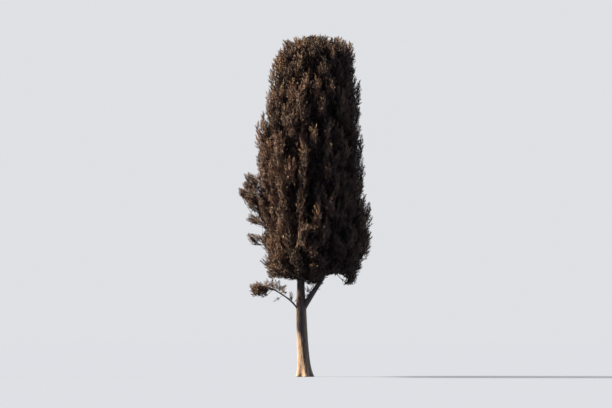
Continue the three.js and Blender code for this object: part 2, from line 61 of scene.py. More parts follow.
# The trunk: one stem of pale wood under thin grey-brown bark that peels in long strings. It leans a
# little to the left, flares into five root ridges where it is cut level with the ground, and runs up
# through the crown to a whip.
TREE_TOP = 12.0
TRUNK_TIP = 10.95
TIP_RADIUS = 0.024
BREAST_HEIGHT = 1.3
BREAST_RADIUS = 0.192
TAPER_POWER = 0.86
LEAN_HEIGHT = 3.3
LEAN_LEFT = 0.13
DRIFT_RIGHT = 0.45
SWAY = 0.055
SWAY_PITCH = 2.6
FORK_HEIGHT = 2.3
FORK_LENGTH = 0.9
FORK_THINNING = 0.22
FLARE = 0.082
FLARE_HEIGHT = 0.33
ROOT_RIDGES = 5
RIDGE_SHARE = 0.2
RIDGE_TURN = 0.6
TRUNK_SIDES = 160
BARE_TRUNK = 3.6
BARE_STEP = 0.025
RINGS_ABOVE = 124


def eased(share):
    """A share from 0 to 1 that starts and ends gently."""
    return share * share * (3 - 2 * share)


def trunk_centre(z):
    """The trunk's centre line at a height, or at an array of heights."""
    z = np.asarray(z, float)
    lean = np.sin(np.minimum(z / LEAN_HEIGHT, 1) * np.pi / 2)
    drift = eased(np.clip((z - LEAN_HEIGHT) / (TREE_TOP - LEAN_HEIGHT), 0, 1))
    return np.stack([DRIFT_RIGHT * drift - LEAN_LEFT * lean, SWAY * np.sin(z / SWAY_PITCH), z], axis=-1)


def trunk_radius(z):
    """The trunk's radius above the flare at a height."""
    z = np.asarray(z, float)
    share = np.maximum(TRUNK_TIP - z, 0) / (TRUNK_TIP - BREAST_HEIGHT)
    kept = 1 - FORK_THINNING * eased(np.clip((z - FORK_HEIGHT) / FORK_LENGTH, 0, 1))
    return TIP_RADIUS + (BREAST_RADIUS - TIP_RADIUS) * kept * share**TAPER_POWER


def facing(angle):
    """The level direction that an angle faces."""
    return np.stack([np.cos(angle), np.sin(angle), np.zeros_like(angle)], axis=-1)


def node(tree, kind, feeds=None, **settings):
    """A node with its settings. Each input is fed by a socket or holds a value."""
    new = tree.nodes.new(kind)
    for key, value in settings.items():
        setattr(new, key, value)
    for key, value in (feeds or {}).items():
        if isinstance(value, bpy.types.NodeSocket):
            tree.links.new(value, new.inputs[key])
        else:
            new.inputs[key].default_value = value
    return new


def arithmetic(tree, operation, *values):
    """The outcome of one step of arithmetic."""
    return node(tree, "ShaderNodeMath", dict(enumerate(values)), operation=operation).outputs[0]


def carried(tree, name, kind):
    """A value that the points of the mesh carry under this name."""
    return node(tree, "GeometryNodeInputNamedAttribute", {0: name}, data_type=kind).outputs[0]


def stored(tree, shape, name, kind, value):
    """The shape with a value stored on its points under this name."""
    feeds = {"Geometry": shape, "Name": name, "Value": value}
    return node(tree, "GeometryNodeStoreNamedAttribute", feeds, data_type=kind, domain="POINT").outputs[0]


def ranged(tree, value, low=0.0, high=1.0, first=0.0, last=1.0, curve="LINEAR"):
    """A value from the range low to high, turned into the range first to last."""
    feeds = {"Value": value, "From Min": low, "From Max": high, "To Min": first, "To Max": last}
    return node(tree, "ShaderNodeMapRange", feeds, interpolation_type=curve).outputs[0]


def node_group(kind, name, inputs, outputs):
    """A node group with named sockets: the group, its input node and its output node."""
    group = bpy.data.node_groups.new(name, kind)
    for side, sockets in (("INPUT", inputs), ("OUTPUT", outputs)):
        for label, holds in sockets.items():
            group.interface.new_socket(label, in_out=side, socket_type=f"NodeSocket{holds}")
    return group, group.nodes.new("NodeGroupInput"), group.nodes.new("NodeGroupOutput")


def growth_tree(name, inputs):
    """A node group that grows one shape from another by some named values."""
    shape = {"Geometry": "Geometry"}
    return node_group("GeometryNodeTree", name, {**shape, **inputs}, shape)


def grow(name, start, tree, values):
    """A plain mesh piece, grown from a start mesh by a node tree with these values."""
    piece = bpy.data.objects.new(name, start)
    bpy.context.scene.collection.objects.link(piece)
    growth = piece.modifiers.new("growth", "NODES")
    growth.node_group = tree
    for item in tree.interface.items_tree:
        if item.in_out == "INPUT" and item.name in values:
            growth[item.identifier] = values[item.name]
    shape = piece.evaluated_get(bpy.context.evaluated_depsgraph_get())
    mesh = bpy.data.meshes.new_from_object(shape)
    piece.modifiers.clear()
    piece.data = mesh
    mesh.name = name
    bpy.data.meshes.remove(start)
    return piece


def give(mesh, name, kind, values):
    """Stores a value on each point of a mesh."""
    field = "vector" if kind == "FLOAT_VECTOR" else "value"
    mesh.attributes.new(name, kind, "POINT").data.foreach_set(field, np.ravel(values))


# Bark relief cuts long wandering grooves into a surface that carries its grain: a direction round the
# limb in x and y, and metres along it in z. It also stores how deep each point lies.
BARK_SIZES = dict.fromkeys(["Fibres Round", "Strip Length", "Groove Depth"], "Float")
GROOVE_WIDTH = 0.075
PLATE_SWELL = 1.6

relief, given, out = growth_tree("bark relief", BARK_SIZES)
grain = carried(relief, "grain", "FLOAT_VECTOR")
outward = carried(relief, "outward", "FLOAT_VECTOR")
across = arithmetic(relief, "DIVIDE", given.outputs["Fibres Round"], 2 * math.pi)
along = arithmetic(relief, "DIVIDE", 1.0, given.outputs["Strip Length"])
pitch = node(relief, "ShaderNodeCombineXYZ", {0: across, 1: across, 2: along})
where = node(relief, "ShaderNodeVectorMath", {0: grain, 1: pitch.outputs[0]}, operation="MULTIPLY")
strands = node(
    relief,
    "ShaderNodeTexNoise",
    {"Vector": where.outputs[0], "Scale": 1.0, "Detail": 2.5, "Distortion": 0.6},
)
off = arithmetic(relief, "SUBTRACT", strands.outputs[0], 0.5)
away = arithmetic(relief, "ABSOLUTE", off)
groove = ranged(relief, away, high=GROOVE_WIDTH, first=1.0, last=0.0, curve="SMOOTHSTEP")
plates = arithmetic(relief, "MULTIPLY", off, PLATE_SWELL)
height = arithmetic(relief, "SUBTRACT", plates, groove)
lift = arithmetic(relief, "MULTIPLY", height, given.outputs["Groove Depth"])
shift = node(relief, "ShaderNodeVectorMath", {0: outward, "Scale": lift}, operation="SCALE")
moved = node(relief, "GeometryNodeSetPosition", {"Geometry": given.outputs[0], "Offset": shift.outputs[0]})
marked = stored(relief, moved.outputs[0], "groove", "FLOAT", groove)
relief.links.new(marked, out.inputs[0])


def clad_in_bark(tree, given, out, shape):
    """Ends a tree: the shape gets the bark's relief and the bark."""
    sizes = {label: given.outputs[label] for label in BARK_SIZES}
    cut = node(tree, "GeometryNodeGroup", {0: shape, **sizes}, node_tree=relief)
    smooth = node(tree, "GeometryNodeSetShadeSmooth", {"Geometry": cut.outputs[0]})
    real = node(tree, "GeometryNodeRealizeInstances", {0: smooth.outputs[0]})
    clad = node(tree, "GeometryNodeSetMaterial", {0: real.outputs[0], "Material": given.outputs["Bark"]})
    tree.links.new(clad.outputs[0], out.inputs[0])


bark_skin, given, out = growth_tree("bark skin", {**BARK_SIZES, "Bark": "Material"})
clad_in_bark(bark_skin, given, out, given.outputs[0])


def pattern_group(name, inputs):
    """A node group that works out a colour, a roughness and a height for a surface."""
    outputs = {"Colour": "Color", "Roughness": "Float", "Height": "Float"}
    return node_group("ShaderNodeTree", name, inputs, outputs)


def mixed(tree, share, first, second):
    """Two colours mixed by a share of the second."""
    return node(tree, "ShaderNodeMix", {"Factor": share, 6: first, 7: second}, data_type="RGBA").outputs[2]


def patterned(name, group, colours, sizes, gloss, bump, bump_depth):
    """A material with a pattern's colour, roughness and bumps, and the pattern's node in it."""
    material = bpy.data.materials.new(name)
    material.use_nodes = True
    tree = material.node_tree
    pattern = node(tree, "ShaderNodeGroup", sizes, node_tree=group)
    for label, colour in colours.items():
        pattern.inputs[label].default_value = (*colour, 1)
    bumps = node(tree, "ShaderNodeBump", {"Strength": bump, "Distance": bump_depth})
    tree.links.new(pattern.outputs["Height"], bumps.inputs["Height"])
    shader = tree.nodes["Principled BSDF"]
    shader.inputs["Specular IOR Level"].default_value = gloss
    tree.links.new(pattern.outputs["Colour"], shader.inputs["Base Color"])
    tree.links.new(pattern.outputs["Roughness"], shader.inputs["Roughness"])
    tree.links.new(bumps.outputs[0], shader.inputs["Normal"])
    return material, pattern


# Bark fibre colours any bark: pale silvery strings over a darker, redder groove, with fine hair lines
# that run with the limb, and lichen-grey patches where the weather has been at it.
HAIR_STRETCH = 0.07
GROOVE_SHADE = 0.85
HAIR_SHADE = 0.5

fibre, given, out = pattern_group(
    "bark fibre",
    {
        "Strings": "Color",
        "Grooves": "Color",
        "Weathered": "Color",
        "Depth": "Float",
        "Hair Size": "Float",
    },
)
place = node(fibre, "ShaderNodeTexCoord").outputs["Object"]
drawn = node(fibre, "ShaderNodeMapping", {"Vector": place, "Scale": (1, 1, HAIR_STRETCH)})
hairs = node(
    fibre,
    "ShaderNodeTexNoise",
    {"Vector": drawn.outputs[0], "Scale": given.outputs["Hair Size"], "Detail": 5.0, "Roughness": 0.62},
)
patches = node(fibre, "ShaderNodeTexNoise", {"Vector": place, "Scale": 2.6, "Detail": 3.0})
patch = ranged(fibre, patches.outputs[0], low=0.45, high=0.7)
streak = ranged(fibre, hairs.outputs[0], low=0.38, high=0.66)
sunk = arithmetic(fibre, "MULTIPLY", given.outputs["Depth"], GROOVE_SHADE)
thin = arithmetic(fibre, "SUBTRACT", 1.0, streak)
dark = arithmetic(fibre, "MAXIMUM", sunk, arithmetic(fibre, "MULTIPLY", thin, HAIR_SHADE))
face = mixed(fibre, patch, given.outputs["Strings"], given.outputs["Weathered"])
tone = mixed(fibre, dark, face, given.outputs["Grooves"])
matt = ranged(fibre, dark, first=0.78, last=0.97)
fibre.links.new(tone, out.inputs["Colour"])
fibre.links.new(matt, out.inputs["Roughness"])
fibre.links.new(hairs.outputs[0], out.inputs["Height"])


def bark(name, strings, grooves, weathered, hair_size, bump):
    """A bark material: the fibre pattern over the grooves that the surface carries."""
    colours = {"Strings": strings, "Grooves": grooves, "Weathered": weathered}
    sizes = {"Hair Size": hair_size}
    material, pattern = patterned(name, fibre, colours, sizes, gloss=0.25, bump=bump, bump_depth=0.006)
    depth = node(material.node_tree, "ShaderNodeAttribute", attribute_name="groove")
    material.node_tree.links.new(depth.outputs["Fac"], pattern.inputs["Depth"])
    return material


trunk_bark = bark(
    "trunk bark",
    strings=(0.42, 0.32, 0.22),
    grooves=(0.15, 0.092, 0.058),
    weathered=(0.38, 0.32, 0.26),
    hair_size=70,
    bump=0.7,
)

around = 2 * np.pi * np.arange(TRUNK_SIDES) / TRUNK_SIDES
heights = np.concatenate(
    [np.arange(0, BARE_TRUNK, BARE_STEP), np.linspace(BARE_TRUNK, TRUNK_TIP, RINGS_ABOVE)]
)
flare = np.exp(-heights / FLARE_HEIGHT)[:, None]
ridges = 1 + RIDGE_SHARE * flare * np.cos(ROOT_RIDGES * around + RIDGE_TURN)
trunk_rings = (trunk_radius(heights)[:, None] + FLARE * flare) * ridges
points = trunk_centre(heights)[:, None, :] + trunk_rings[:, :, None] * facing(around)
rows = len(heights)
corners = np.arange(rows * TRUNK_SIDES).reshape(rows, TRUNK_SIDES)
beside = np.roll(corners, -1, axis=1)
quads = np.stack([corners[:-1], beside[:-1], beside[1:], corners[1:]], axis=-1).reshape(-1, 4)
ends = [corners[0, ::-1].tolist(), corners[-1].tolist()]
trunk_start = bpy.data.meshes.new("trunk start")
trunk_start.from_pydata(points.reshape(-1, 3).tolist(), [], quads.tolist() + ends)
sides = np.tile(facing(around), (rows, 1))
give(trunk_start, "outward", "FLOAT_VECTOR", sides)
give(trunk_start, "grain", "FLOAT_VECTOR", sides + np.repeat(heights, TRUNK_SIDES)[:, None] * [0, 0, 1])
trunk = grow(
    "trunk_bark",
    trunk_start,
    bark_skin,
    {"Fibres Round": 34.0, "Strip Length": 0.42, "Groove Depth": 0.007, "Bark": trunk_bark},
)
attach(trunk, "root")
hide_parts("trunk")


# The boughs: round limbs that leave the trunk at a narrow angle, bend upright and run on inside the
# foliage as stems, one to each mass. Two low ones show: a stout one on the right, and on the left a
# thin, nearly bare one. Their bark is younger, tighter and browner than the trunk's.
CROWN_FOOT = 3.3
CROWN_FULL = 5.0
CROWN_RADIUS = 1.96
CROWN_SHIFT = 0.3
CROWN_WANDER = 0.11
WANDER_HEIGHT = 4.6
WANDER_PITCH = 1.1
NECK_HEIGHT = 11.2
NECK_RADIUS = 1.44
NECK_POWER = 2.5
NECK_LIMIT = 1.15
FOOT_POWER = 4
LEFT_SHOULDER = 0.85
RIGHT_SHOULDER = 0.32
SHOULDER_POWER = 2.6
SWELLS = [
    {"z": 6.56, "turn": 180, "rise": 0.5, "tall": 0.35, "wide": 22},
    {"z": 5.5, "turn": 185, "rise": 0.47, "tall": 0.175, "wide": 15},
    {"z": 4.88, "turn": 176, "rise": 0.4, "tall": 0.165, "wide": 15},
    {"z": 4.45, "turn": 180, "rise": -0.22, "tall": 0.21, "wide": 26},
    {"z": 6.56, "turn": 0, "rise": -0.14, "tall": 0.32, "wide": 24},
    {"z": 8.62, "turn": 181, "rise": 0.12, "tall": 0.38, "wide": 24},
    {"z": 8.52, "turn": 2, "rise": 0.11, "tall": 0.38, "wide": 22},
    {"z": 11.15, "turn": 0, "rise": -0.13, "tall": 0.52, "wide": 42},
    {"z": 4.0, "turn": 8, "rise": -0.3, "tall": 0.52, "wide": 38},
    {"z": 7.4, "turn": 266, "rise": 0.11, "tall": 0.62, "wide": 22},
    {"z": 5.3, "turn": 86, "rise": 0.1, "tall": 0.7, "wide": 26},
]
MASS_COUNT = 18
GOLDEN_TURN = math.radians(137.508)
FIRST_TURN = math.radians(-8)
LOWEST_MASS = 4.15
HIGHEST_MASS = 10.65
MASS_OUT = 0.53
MASS_REACH = 1.02
REACH_SPREAD = 0.06
STEM_OUT = 0.58
STEM_RISE = 1.23
STEM_CEILING = TREE_TOP - 0.48
STEM_RADIUS = 0.017
BOUGH_DROP = 1.5
BOUGH_RADIUS = 0.066
LOW_BOUGH_SHARE = 1.12
BOUGH_SLIMMING = 0.45
LOW_RIGHT_RADIUS = 0.104
LOW_RIGHT_THROUGH = np.array([1.02, -0.09, 4.15])
LOW_LEFT_HEIGHT = 2.15
LOW_LEFT_RADIUS = 0.038
LOW_LEFT_TIP_RADIUS = 0.013
LOW_LEFT_THROUGH = np.array([-0.8, -0.06, 2.88])
LOW_LEFT_END = np.array([-1.79, -0.13, 3.23])
LOW_LEFT_CENTRE = np.array([-1.64, -0.12, 3.11])
LOW_LEFT_REACH = 0.37
LEADER_THROUGH = 11.375
LEADER_END = 11.52
TOP_CENTRE = 11.33
CELL_GAP = 0.016
CELL_FLATNESS = 0.55
CORE_SHARE = 0.82
TUFT_CORE = 0.32
TRUNK_COVER = 0.055
LIMB_COVER = 0.01
LIMB_TAPER = 0.8
LIMB_STEP = 0.01
FIRST_ENTRY = 0.08
LAST_ENTRY = 0.8
BOUGH_POINTS = 46
BOUGH_WANDER = 0.014
BOUGH_WAVES = [9, 7, 8]
BOUGH_UPDOWN = 0.5
COLLAR = 0.3
COLLAR_FALL = 14
DICE_SEED_STEP = 7919
DICE_SEED_START = 17
DICE_STEP = 16807
DICE_SIZE = 2**31 - 1
UP = np.array([0.0, 0.0, 1.0])


def dice(seed):
    """Repeatable numbers from 0 to 1."""
    state = seed * DICE_SEED_STEP + DICE_SEED_START
    while True:
        state = (state * DICE_STEP) % DICE_SIZE
        yield state / DICE_SIZE


def unit(v):
    """Vectors made one long."""
    return v / np.maximum(np.linalg.norm(v, axis=-1, keepdims=True), 1e-9)


def crown_centre(z):
    """The middle of the crown at a height."""
    z = np.asarray(z, float)
    wander = CROWN_WANDER * np.cos((z - WANDER_HEIGHT) / WANDER_PITCH)
    return np.stack([CROWN_SHIFT + wander, np.zeros_like(z), z], axis=-1)


def crown_radius(z, angle):
    """The crown's radius at a height, on the side that an angle faces."""
    z, angle = np.broadcast_arrays(np.asarray(z, float), angle)
    drawn = np.clip((z - CROWN_FULL) / (NECK_HEIGHT - CROWN_FULL), 0, NECK_LIMIT)
    width = CROWN_RADIUS - (CROWN_RADIUS - NECK_RADIUS) * drawn**NECK_POWER
    rise = np.clip((z - CROWN_FOOT) / (CROWN_FULL - CROWN_FOOT), 0, 1)
    foot = (1 - (1 - rise) ** FOOT_POWER) ** (1 / FOOT_POWER)
    shoulder = LEFT_SHOULDER + (RIGHT_SHOULDER - LEFT_SHOULDER) * (0.5 + 0.5 * np.cos(angle))
    into = np.clip((z - (TREE_TOP - shoulder)) / shoulder, 0, 1)
    top = (1 - into**SHOULDER_POWER) ** (1 / SHOULDER_POWER)
    radius = width * foot * top
    for swell in SWELLS:
        up = (z - swell["z"]) / swell["tall"]
        turned = 1 - np.cos(angle - math.radians(swell["turn"]))
        wide = 1 - math.cos(math.radians(swell["wide"]))
        radius = radius + swell["rise"] * np.exp(-up * up - turned / wide)
    return np.where((z > CROWN_FOOT) & (z < TREE_TOP), radius, 0.0)


def on_crown(z, angle, radius):
    """Points at these heights and angles, as far out from the crown's middle as each radius."""
    return crown_centre(z) + facing(angle) * radius[:, None]


def limb_of(start, through, end, outward, thick, thin):
    """A limb: the three points of its curve, the way it faces, and its radius at each end."""
    bend = 2 * through - (start + end) / 2
    return {"curve": (start, bend, end), "outward": outward, "thick": thick, "thin": thin}


def on_limb(limb, t):
    """Points of a limb's curve."""
    start, bend, end = limb["curve"]
    t = np.asarray(t, float)[..., None]
    return (1 - t) ** 2 * start + 2 * t * (1 - t) * bend + t**2 * end


def limb_radius(limb, t):
    """A limb's radius along its curve."""
    return limb["thick"] + (limb["thin"] - limb["thick"]) * np.asarray(t, float) ** LIMB_TAPER


def mass_on(limb, name, centre, reach=1.0, tuft=0.0):
    """A mass of foliage on a limb. Only the low left tuft has a size of its own."""
    return {"name": name, "centre": centre, "reach": reach, "limb": limb, "tuft": tuft}


def spiral_mass(index):
    """One of the masses that climb round the trunk, with its limb."""
    share = index / (MASS_COUNT - 1)
    z = LOWEST_MASS + (HIGHEST_MASS - LOWEST_MASS) * share
    angle = FIRST_TURN + index * GOLDEN_TURN
    outward = facing(angle)
    centre = crown_centre(z) + outward * MASS_OUT * crown_radius(z, angle)
    top = min(z + STEM_RISE, STEM_CEILING)
    end = crown_centre(top) + outward * STEM_OUT * crown_radius(top, angle)
    thick = BOUGH_RADIUS * (LOW_BOUGH_SHARE - BOUGH_SLIMMING * share)
    limb = limb_of(trunk_centre(z - BOUGH_DROP), centre, end, outward, thick, STEM_RADIUS)
    return mass_on(limb, f"{index + 1:02d}", centre, MASS_REACH - REACH_SPREAD * next(dice(index + 3)))


masses = [spiral_mass(i) for i in range(MASS_COUNT)]
stem_top = masses[0]["limb"]["curve"][2]
low_right_curve = trunk_centre(FORK_HEIGHT), LOW_RIGHT_THROUGH, stem_top
masses[0]["limb"] = limb_of(*low_right_curve, masses[0]["limb"]["outward"], LOW_RIGHT_RADIUS, STEM_RADIUS)
leader_curve = [trunk_centre(z) for z in (TRUNK_TIP, LEADER_THROUGH, LEADER_END)]
leader = limb_of(*leader_curve, facing(0.0), TIP_RADIUS, STEM_RADIUS)
masses.append(mass_on(leader, "top", trunk_centre(TOP_CENTRE)))
low_left_curve = trunk_centre(LOW_LEFT_HEIGHT), LOW_LEFT_THROUGH, LOW_LEFT_END
low_left = limb_of(*low_left_curve, -facing(0.0), LOW_LEFT_RADIUS, LOW_LEFT_TIP_RADIUS)
masses.append(mass_on(low_left, "low_left", LOW_LEFT_CENTRE, tuft=LOW_LEFT_REACH))


def cell_walls(mass):
    """The flat walls of a mass's cell of the crown, as normals and points."""
    normals, feet = [], []
    for other in masses:
        if other is mass:
            continue
        to_other = other["centre"] - mass["centre"]
        length = np.linalg.norm(to_other)
        wall = mass["tuft"] or (length - other["tuft"] if other["tuft"] else length / 2)
        feet.append(mass["centre"] + to_other / length * wall)
        normals.append(unit(to_other * [1, 1, CELL_FLATNESS**2]))
    return np.array(normals), np.array(feet)


for mass in masses:
    mass["walls"] = cell_walls(mass)


def depth_in_cell(mass, points):
    """The distance from points to the nearest wall of a mass's cell, below 0 outside."""
    normals, feet = mass["walls"]
    return ((feet - np.asarray(points)[..., None, :]) * normals).sum(-1).min(-1)


def inside_core(mass, point):
    """True in the dense part of a mass, where its bough ends and its stem begins."""
    if depth_in_cell(mass, point) < CELL_GAP:
        return False
    if mass["tuft"]:
        return np.linalg.norm(point - mass["centre"]) < TUFT_CORE * mass["tuft"]
    share = CORE_SHARE * mass["reach"]
    away = point - crown_centre(point[2])
    middle = (CROWN_FOOT + TREE_TOP) / 2
    z = middle + (point[2] - middle) / (0.5 + 0.5 * share)
    if math.hypot(away[0], away[1]) > share * crown_radius(z, math.atan2(away[1], away[0])):
        return False
    clear = (point - trunk_centre(point[2])) @ mass["limb"]["outward"]
    return clear > trunk_radius(point[2]) + TRUNK_COVER


def limb_in_cell(mass, t):
    """True where a limb keeps to its mass's cell."""
    return depth_in_cell(mass, on_limb(mass["limb"], t)) > limb_radius(mass["limb"], t) + LIMB_COVER


for mass in masses:
    t = 0.0
    if mass["name"] != "top":
        t = FIRST_ENTRY
        while t < LAST_ENTRY and not (limb_in_cell(mass, t) and inside_core(mass, on_limb(mass["limb"], t))):
            t += LIMB_STEP
    mass["entry"] = t
    while t < 1 and limb_in_cell(mass, t + LIMB_STEP):
        t += LIMB_STEP
    mass["stem_end"] = min(t, 1.0)

# Limb skin turns drawn lines into round limbs: each line carries its thickness, and the skin gets the
# grain that bark relief reads.
limb_skin, given, out = growth_tree(
    "limb skin", {"Sides": "Int", **BARK_SIZES, "Bark": "Material"}
)
lines = node(limb_skin, "GeometryNodeMeshToCurve", {"Mesh": given.outputs[0]})
spline = node(limb_skin, "GeometryNodeSplineParameter")
measured = stored(limb_skin, lines.outputs[0], "metres", "FLOAT", spline.outputs["Length"])
ring = node(
    limb_skin, "GeometryNodeCurvePrimitiveCircle", {"Resolution": given.outputs["Sides"], "Radius": 1.0}
)
spot = node(limb_skin, "GeometryNodeInputPosition")
turned = stored(limb_skin, ring.outputs[0], "turn", "FLOAT_VECTOR", spot.outputs[0])
thickness = carried(limb_skin, "thickness", "FLOAT")
tube = node(
    limb_skin,
    "GeometryNodeCurveToMesh",
    {"Curve": measured, "Profile Curve": turned, "Scale": thickness, "Fill Caps": True},
)
turn = node(limb_skin, "ShaderNodeSeparateXYZ", {0: carried(limb_skin, "turn", "FLOAT_VECTOR")})
metres = carried(limb_skin, "metres", "FLOAT")
grain = node(limb_skin, "ShaderNodeCombineXYZ", {0: turn.outputs[0], 1: turn.outputs[1], 2: metres})
grained = stored(limb_skin, tube.outputs[0], "grain", "FLOAT_VECTOR", grain.outputs[0])
normal = node(limb_skin, "GeometryNodeInputNormal")
faced = stored(limb_skin, grained, "outward", "FLOAT_VECTOR", normal.outputs[0])
clad_in_bark(limb_skin, given, out, faced)


def drawn_lines(name, lines, thicknesses):
    """A mesh of loose lines, all with the same number of points, with their thickness at each point."""
    count, steps, _ = lines.shape
    mesh = bpy.data.meshes.new(name)
    mesh.vertices.add(count * steps)
    mesh.vertices.foreach_set("co", lines.ravel())
    first = (np.arange(count)[:, None] * steps + np.arange(steps - 1)).ravel()
    mesh.edges.add(len(first))
    mesh.edges.foreach_set("vertices", np.column_stack([first, first + 1]).ravel())
    give(mesh, "thickness", "FLOAT", thicknesses)
    return mesh


bough_bark = bark(
    "bough bark",
    strings=(0.46, 0.35, 0.25),
    grooves=(0.17, 0.11, 0.075),
    weathered=(0.4, 0.35, 0.29),
    hair_size=110,
    bump=0.6,
)
t = np.linspace(0, 1, BOUGH_POINTS)
wander = BOUGH_WANDER * np.sin(np.pi * t)[:, None]
wave_x, wave_y, wave_z = np.multiply.outer(BOUGH_WAVES, t)
bough_lines, bough_radii = [], []
for i, mass in enumerate(masses):
    turns = np.stack([np.sin(wave_x + i), np.cos(wave_y + 2 * i), BOUGH_UPDOWN * np.sin(wave_z)], axis=-1)
    bough_lines.append(on_limb(mass["limb"], t) + wander * turns)
    collar = 0 if mass["name"] == "top" else COLLAR * np.exp(-COLLAR_FALL * t)
    bough_radii.append(limb_radius(mass["limb"], t) * (1 + collar))
boughs = grow(
    "bough_bark",
    drawn_lines("bough lines", np.array(bough_lines), np.array(bough_radii)),
    limb_skin,
    {"Sides": 20, "Fibres Round": 15.0, "Strip Length": 0.25, "Groove Depth": 0.0022, "Bark": bough_bark},
)
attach(boughs, "root")
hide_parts(*[n for n in frame["nodes"] if "bough" in n])


# The twigs: thin brown shoots that sweep up from the stems, each to one plume of foliage. The plumes
# stand in clumps with clefts between them, two layers deep. Some shoots stray out of the crown, a few
# sprigs sit on the low boughs, and a fan of twigs makes the tuft on the left.
OUTER_PLUMES = 2700
OUTER_LENGTH = 0.56
INNER_PLUMES = 1350
INNER_LENGTH = 0.62
LENGTH_SPREAD = (0.75, 1.25)
SURFACE_STRIPS = 401
SURFACE_MARGIN = 0.06
BARK_CLEARANCE = 0.03
LEAST_LEAN = 0.1
LEAN_SPREAD = 0.35
FOOT_LEAN = 0.5
FOOT_LEVELLING = 0.55
ASIDE_SPREAD = 0.35
SPLAY = [2.4, 2.4, 1.2]
SEAM_DEPTH = 0.06
SEAM_WIDTH = 0.3
SEAM_POWER = 0.7
TOP_CLEARANCE = 0.02
TOP_RAGGEDNESS = 0.26
INNER_TOP_DROP = 0.3
CLUMPS = 230
CLUMP_STRETCH = 1.35
CLUMP_RADIUS = 0.4
CLUMP_DEPTH = 0.6
CLUMP_LIMIT = 1.3
CLUMP_LIFT = (-0.01, 0.11)
CLUMP_TURN = 0.12
CLUMP_SHIFT = 0.2
HEM_FOOT = CROWN_FOOT + 0.05
HEM_RISE = 0.3
HEM_DIP = 0.2
HEM_DIP_AT = 0.05
HEM_DIP_WIDTH = 0.5
STRAYS = [
    (-2.38, -0.12, 6.56),
    (-2.23, 0.21, 6.82),
    (-2.17, -0.4, 6.33),
    (-2.19, -0.06, 7.09),
    (-2.11, -0.14, 5.62),
    (-2.14, 0.1, 5.04),
    (-1.72, -0.26, 8.42),
    (2.06, 0.09, 8.36),
    (-1.06, 0.06, 11.42),
    (-0.82, -0.05, 11.8),
    (-1.22, 0.02, 11.08),
    (-1.38, -0.14, 3.96),
    (1.93, -0.09, 3.7),
    (1.84, 0.08, 3.98),
    (0.56, 1.96, 6.1),
    (0.12, -2.08, 5.2),
]
STRAY_PLUMES = 20
STRAY_DEPTH = 0.16
STRAY_BREADTH = 0.24
STRAY_HEIGHT = 0.2
STRAY_DROOP = 0.4
STRAY_HANG = 0.08
STRAY_HANG_BELOW = CROWN_FULL - 1
STRAY_OUT = (0.5, 1.0)
STRAY_ASIDE = (-0.5, 0.5)
STRAY_CLIMB = (0.2, 1.2)
STRAY_LENGTHS = (0.28, 0.42)
STRAY_FORKS = (0.45, 0.95)
TUFT_PLUMES = 102
TUFT_LOBES = 6
TUFT_SHAPE = [0.74, 0.6, 0.5]
TUFT_SPREAD = (0.2, 0.6)
TUFT_AWAY = 0.7
TUFT_LEAN = [-0.3, 0, 0.6]
TUFT_WILDNESS = 0.25
TUFT_LENGTHS = (0.18, 0.32)
TUFT_START = 0.66
TUFT_AHEAD = 0.05
TUFT_FAN = 4.0
SPRIGS = [
    {"bough": 0, "low": 0.09, "high": 0.26, "count": 18},
    {"bough": 0, "low": 0.3, "high": 0.62, "count": 14},
    {"bough": 19, "low": 0.18, "high": 0.36, "count": 7},
    {"bough": 19, "low": 0.46, "high": 0.68, "count": 17},
    {"bough": 19, "low": 0.74, "high": 0.84, "count": 4},
]
SPRIG_WILDNESS = [1, 0.8, 0.4]
SPRIG_CLIMB = 0.9
SPRIG_REACH = (0.36, 0.5)
SPRIG_LENGTHS = (0.24, 0.36)
GAPS = [
    {"middle": (-1.8, 0, 5.17), "half": (0.45, 1.5, 0.14)},
    {"middle": (-1.86, 0, 4.46), "half": (0.36, 1.2, 0.16)},
    {"middle": (1.08, 0, 3.4), "half": (0.34, 1.7, 0.27)},
]
TWIG_STEEPNESS = 1.25
TWIG_BEND = 0.32
LEVEL_BEND = 0.5
LEAST_BEND = 0.05
LEAST_RUN = 0.01
STEM_START = 0.04
STEM_LEAST = 0.1
STEM_STEP = 0.02
LEAD_STOUTNESS = 1.4
SIDE_STOUTNESS = 0.6
TUFT_STOUTNESS = 0.55
TWIG_PLACES = [0, 0.3, 0.6, 1.0]
SHOOT_PLACES = [0.45, 0.85]
TWIG_RADII = [0.013, 0.011, 0.009, 0.0075, 0.0055, 0.0025]
PLUME_SEED = 41
random = np.random.default_rng(PLUME_SEED)


def crown_targets(count):
    """Points spread evenly over the crown's surface, from its foot to the middle of its top."""
    z = np.linspace(CROWN_FOOT + SURFACE_MARGIN, TREE_TOP - SURFACE_MARGIN, SURFACE_STRIPS)
    radius = crown_radius(z, np.pi / 2)
    strips = (radius[:-1] + radius[1:]) * np.hypot(np.diff(radius), np.diff(z))
    area = np.concatenate([[0], np.cumsum(strips)])
    top_area = radius[-1] ** 2
    wanted = (np.arange(count) + 0.5) / count * (area[-1] + top_area)
    height = np.interp(wanted, area, z)
    angle = np.arange(count) * GOLDEN_TURN
    inward = np.sqrt(np.clip(1 - (wanted - area[-1]) / top_area, 0, 1))
    return height, angle, inward * crown_radius(height, angle)


def mass_of(points):
    """The index of the mass whose cell each point lies in."""
    return np.argmax([depth_in_cell(mass, points) for mass in masses], axis=0)


def clear_of_gaps(points):
    """True for points outside the crown's open places."""
    clear = np.ones(len(points), bool)
    for gap in GAPS:
        clear &= np.linalg.norm((points - gap["middle"]) / gap["half"], axis=-1) > 1
    return clear


def clear_of_trunk(points):
    """True for points that are not in or against the trunk."""
    away = np.linalg.norm((points - trunk_centre(points[:, 2]))[:, :2], axis=-1)
    return away > trunk_radius(points[:, 2]) + BARK_CLEARANCE


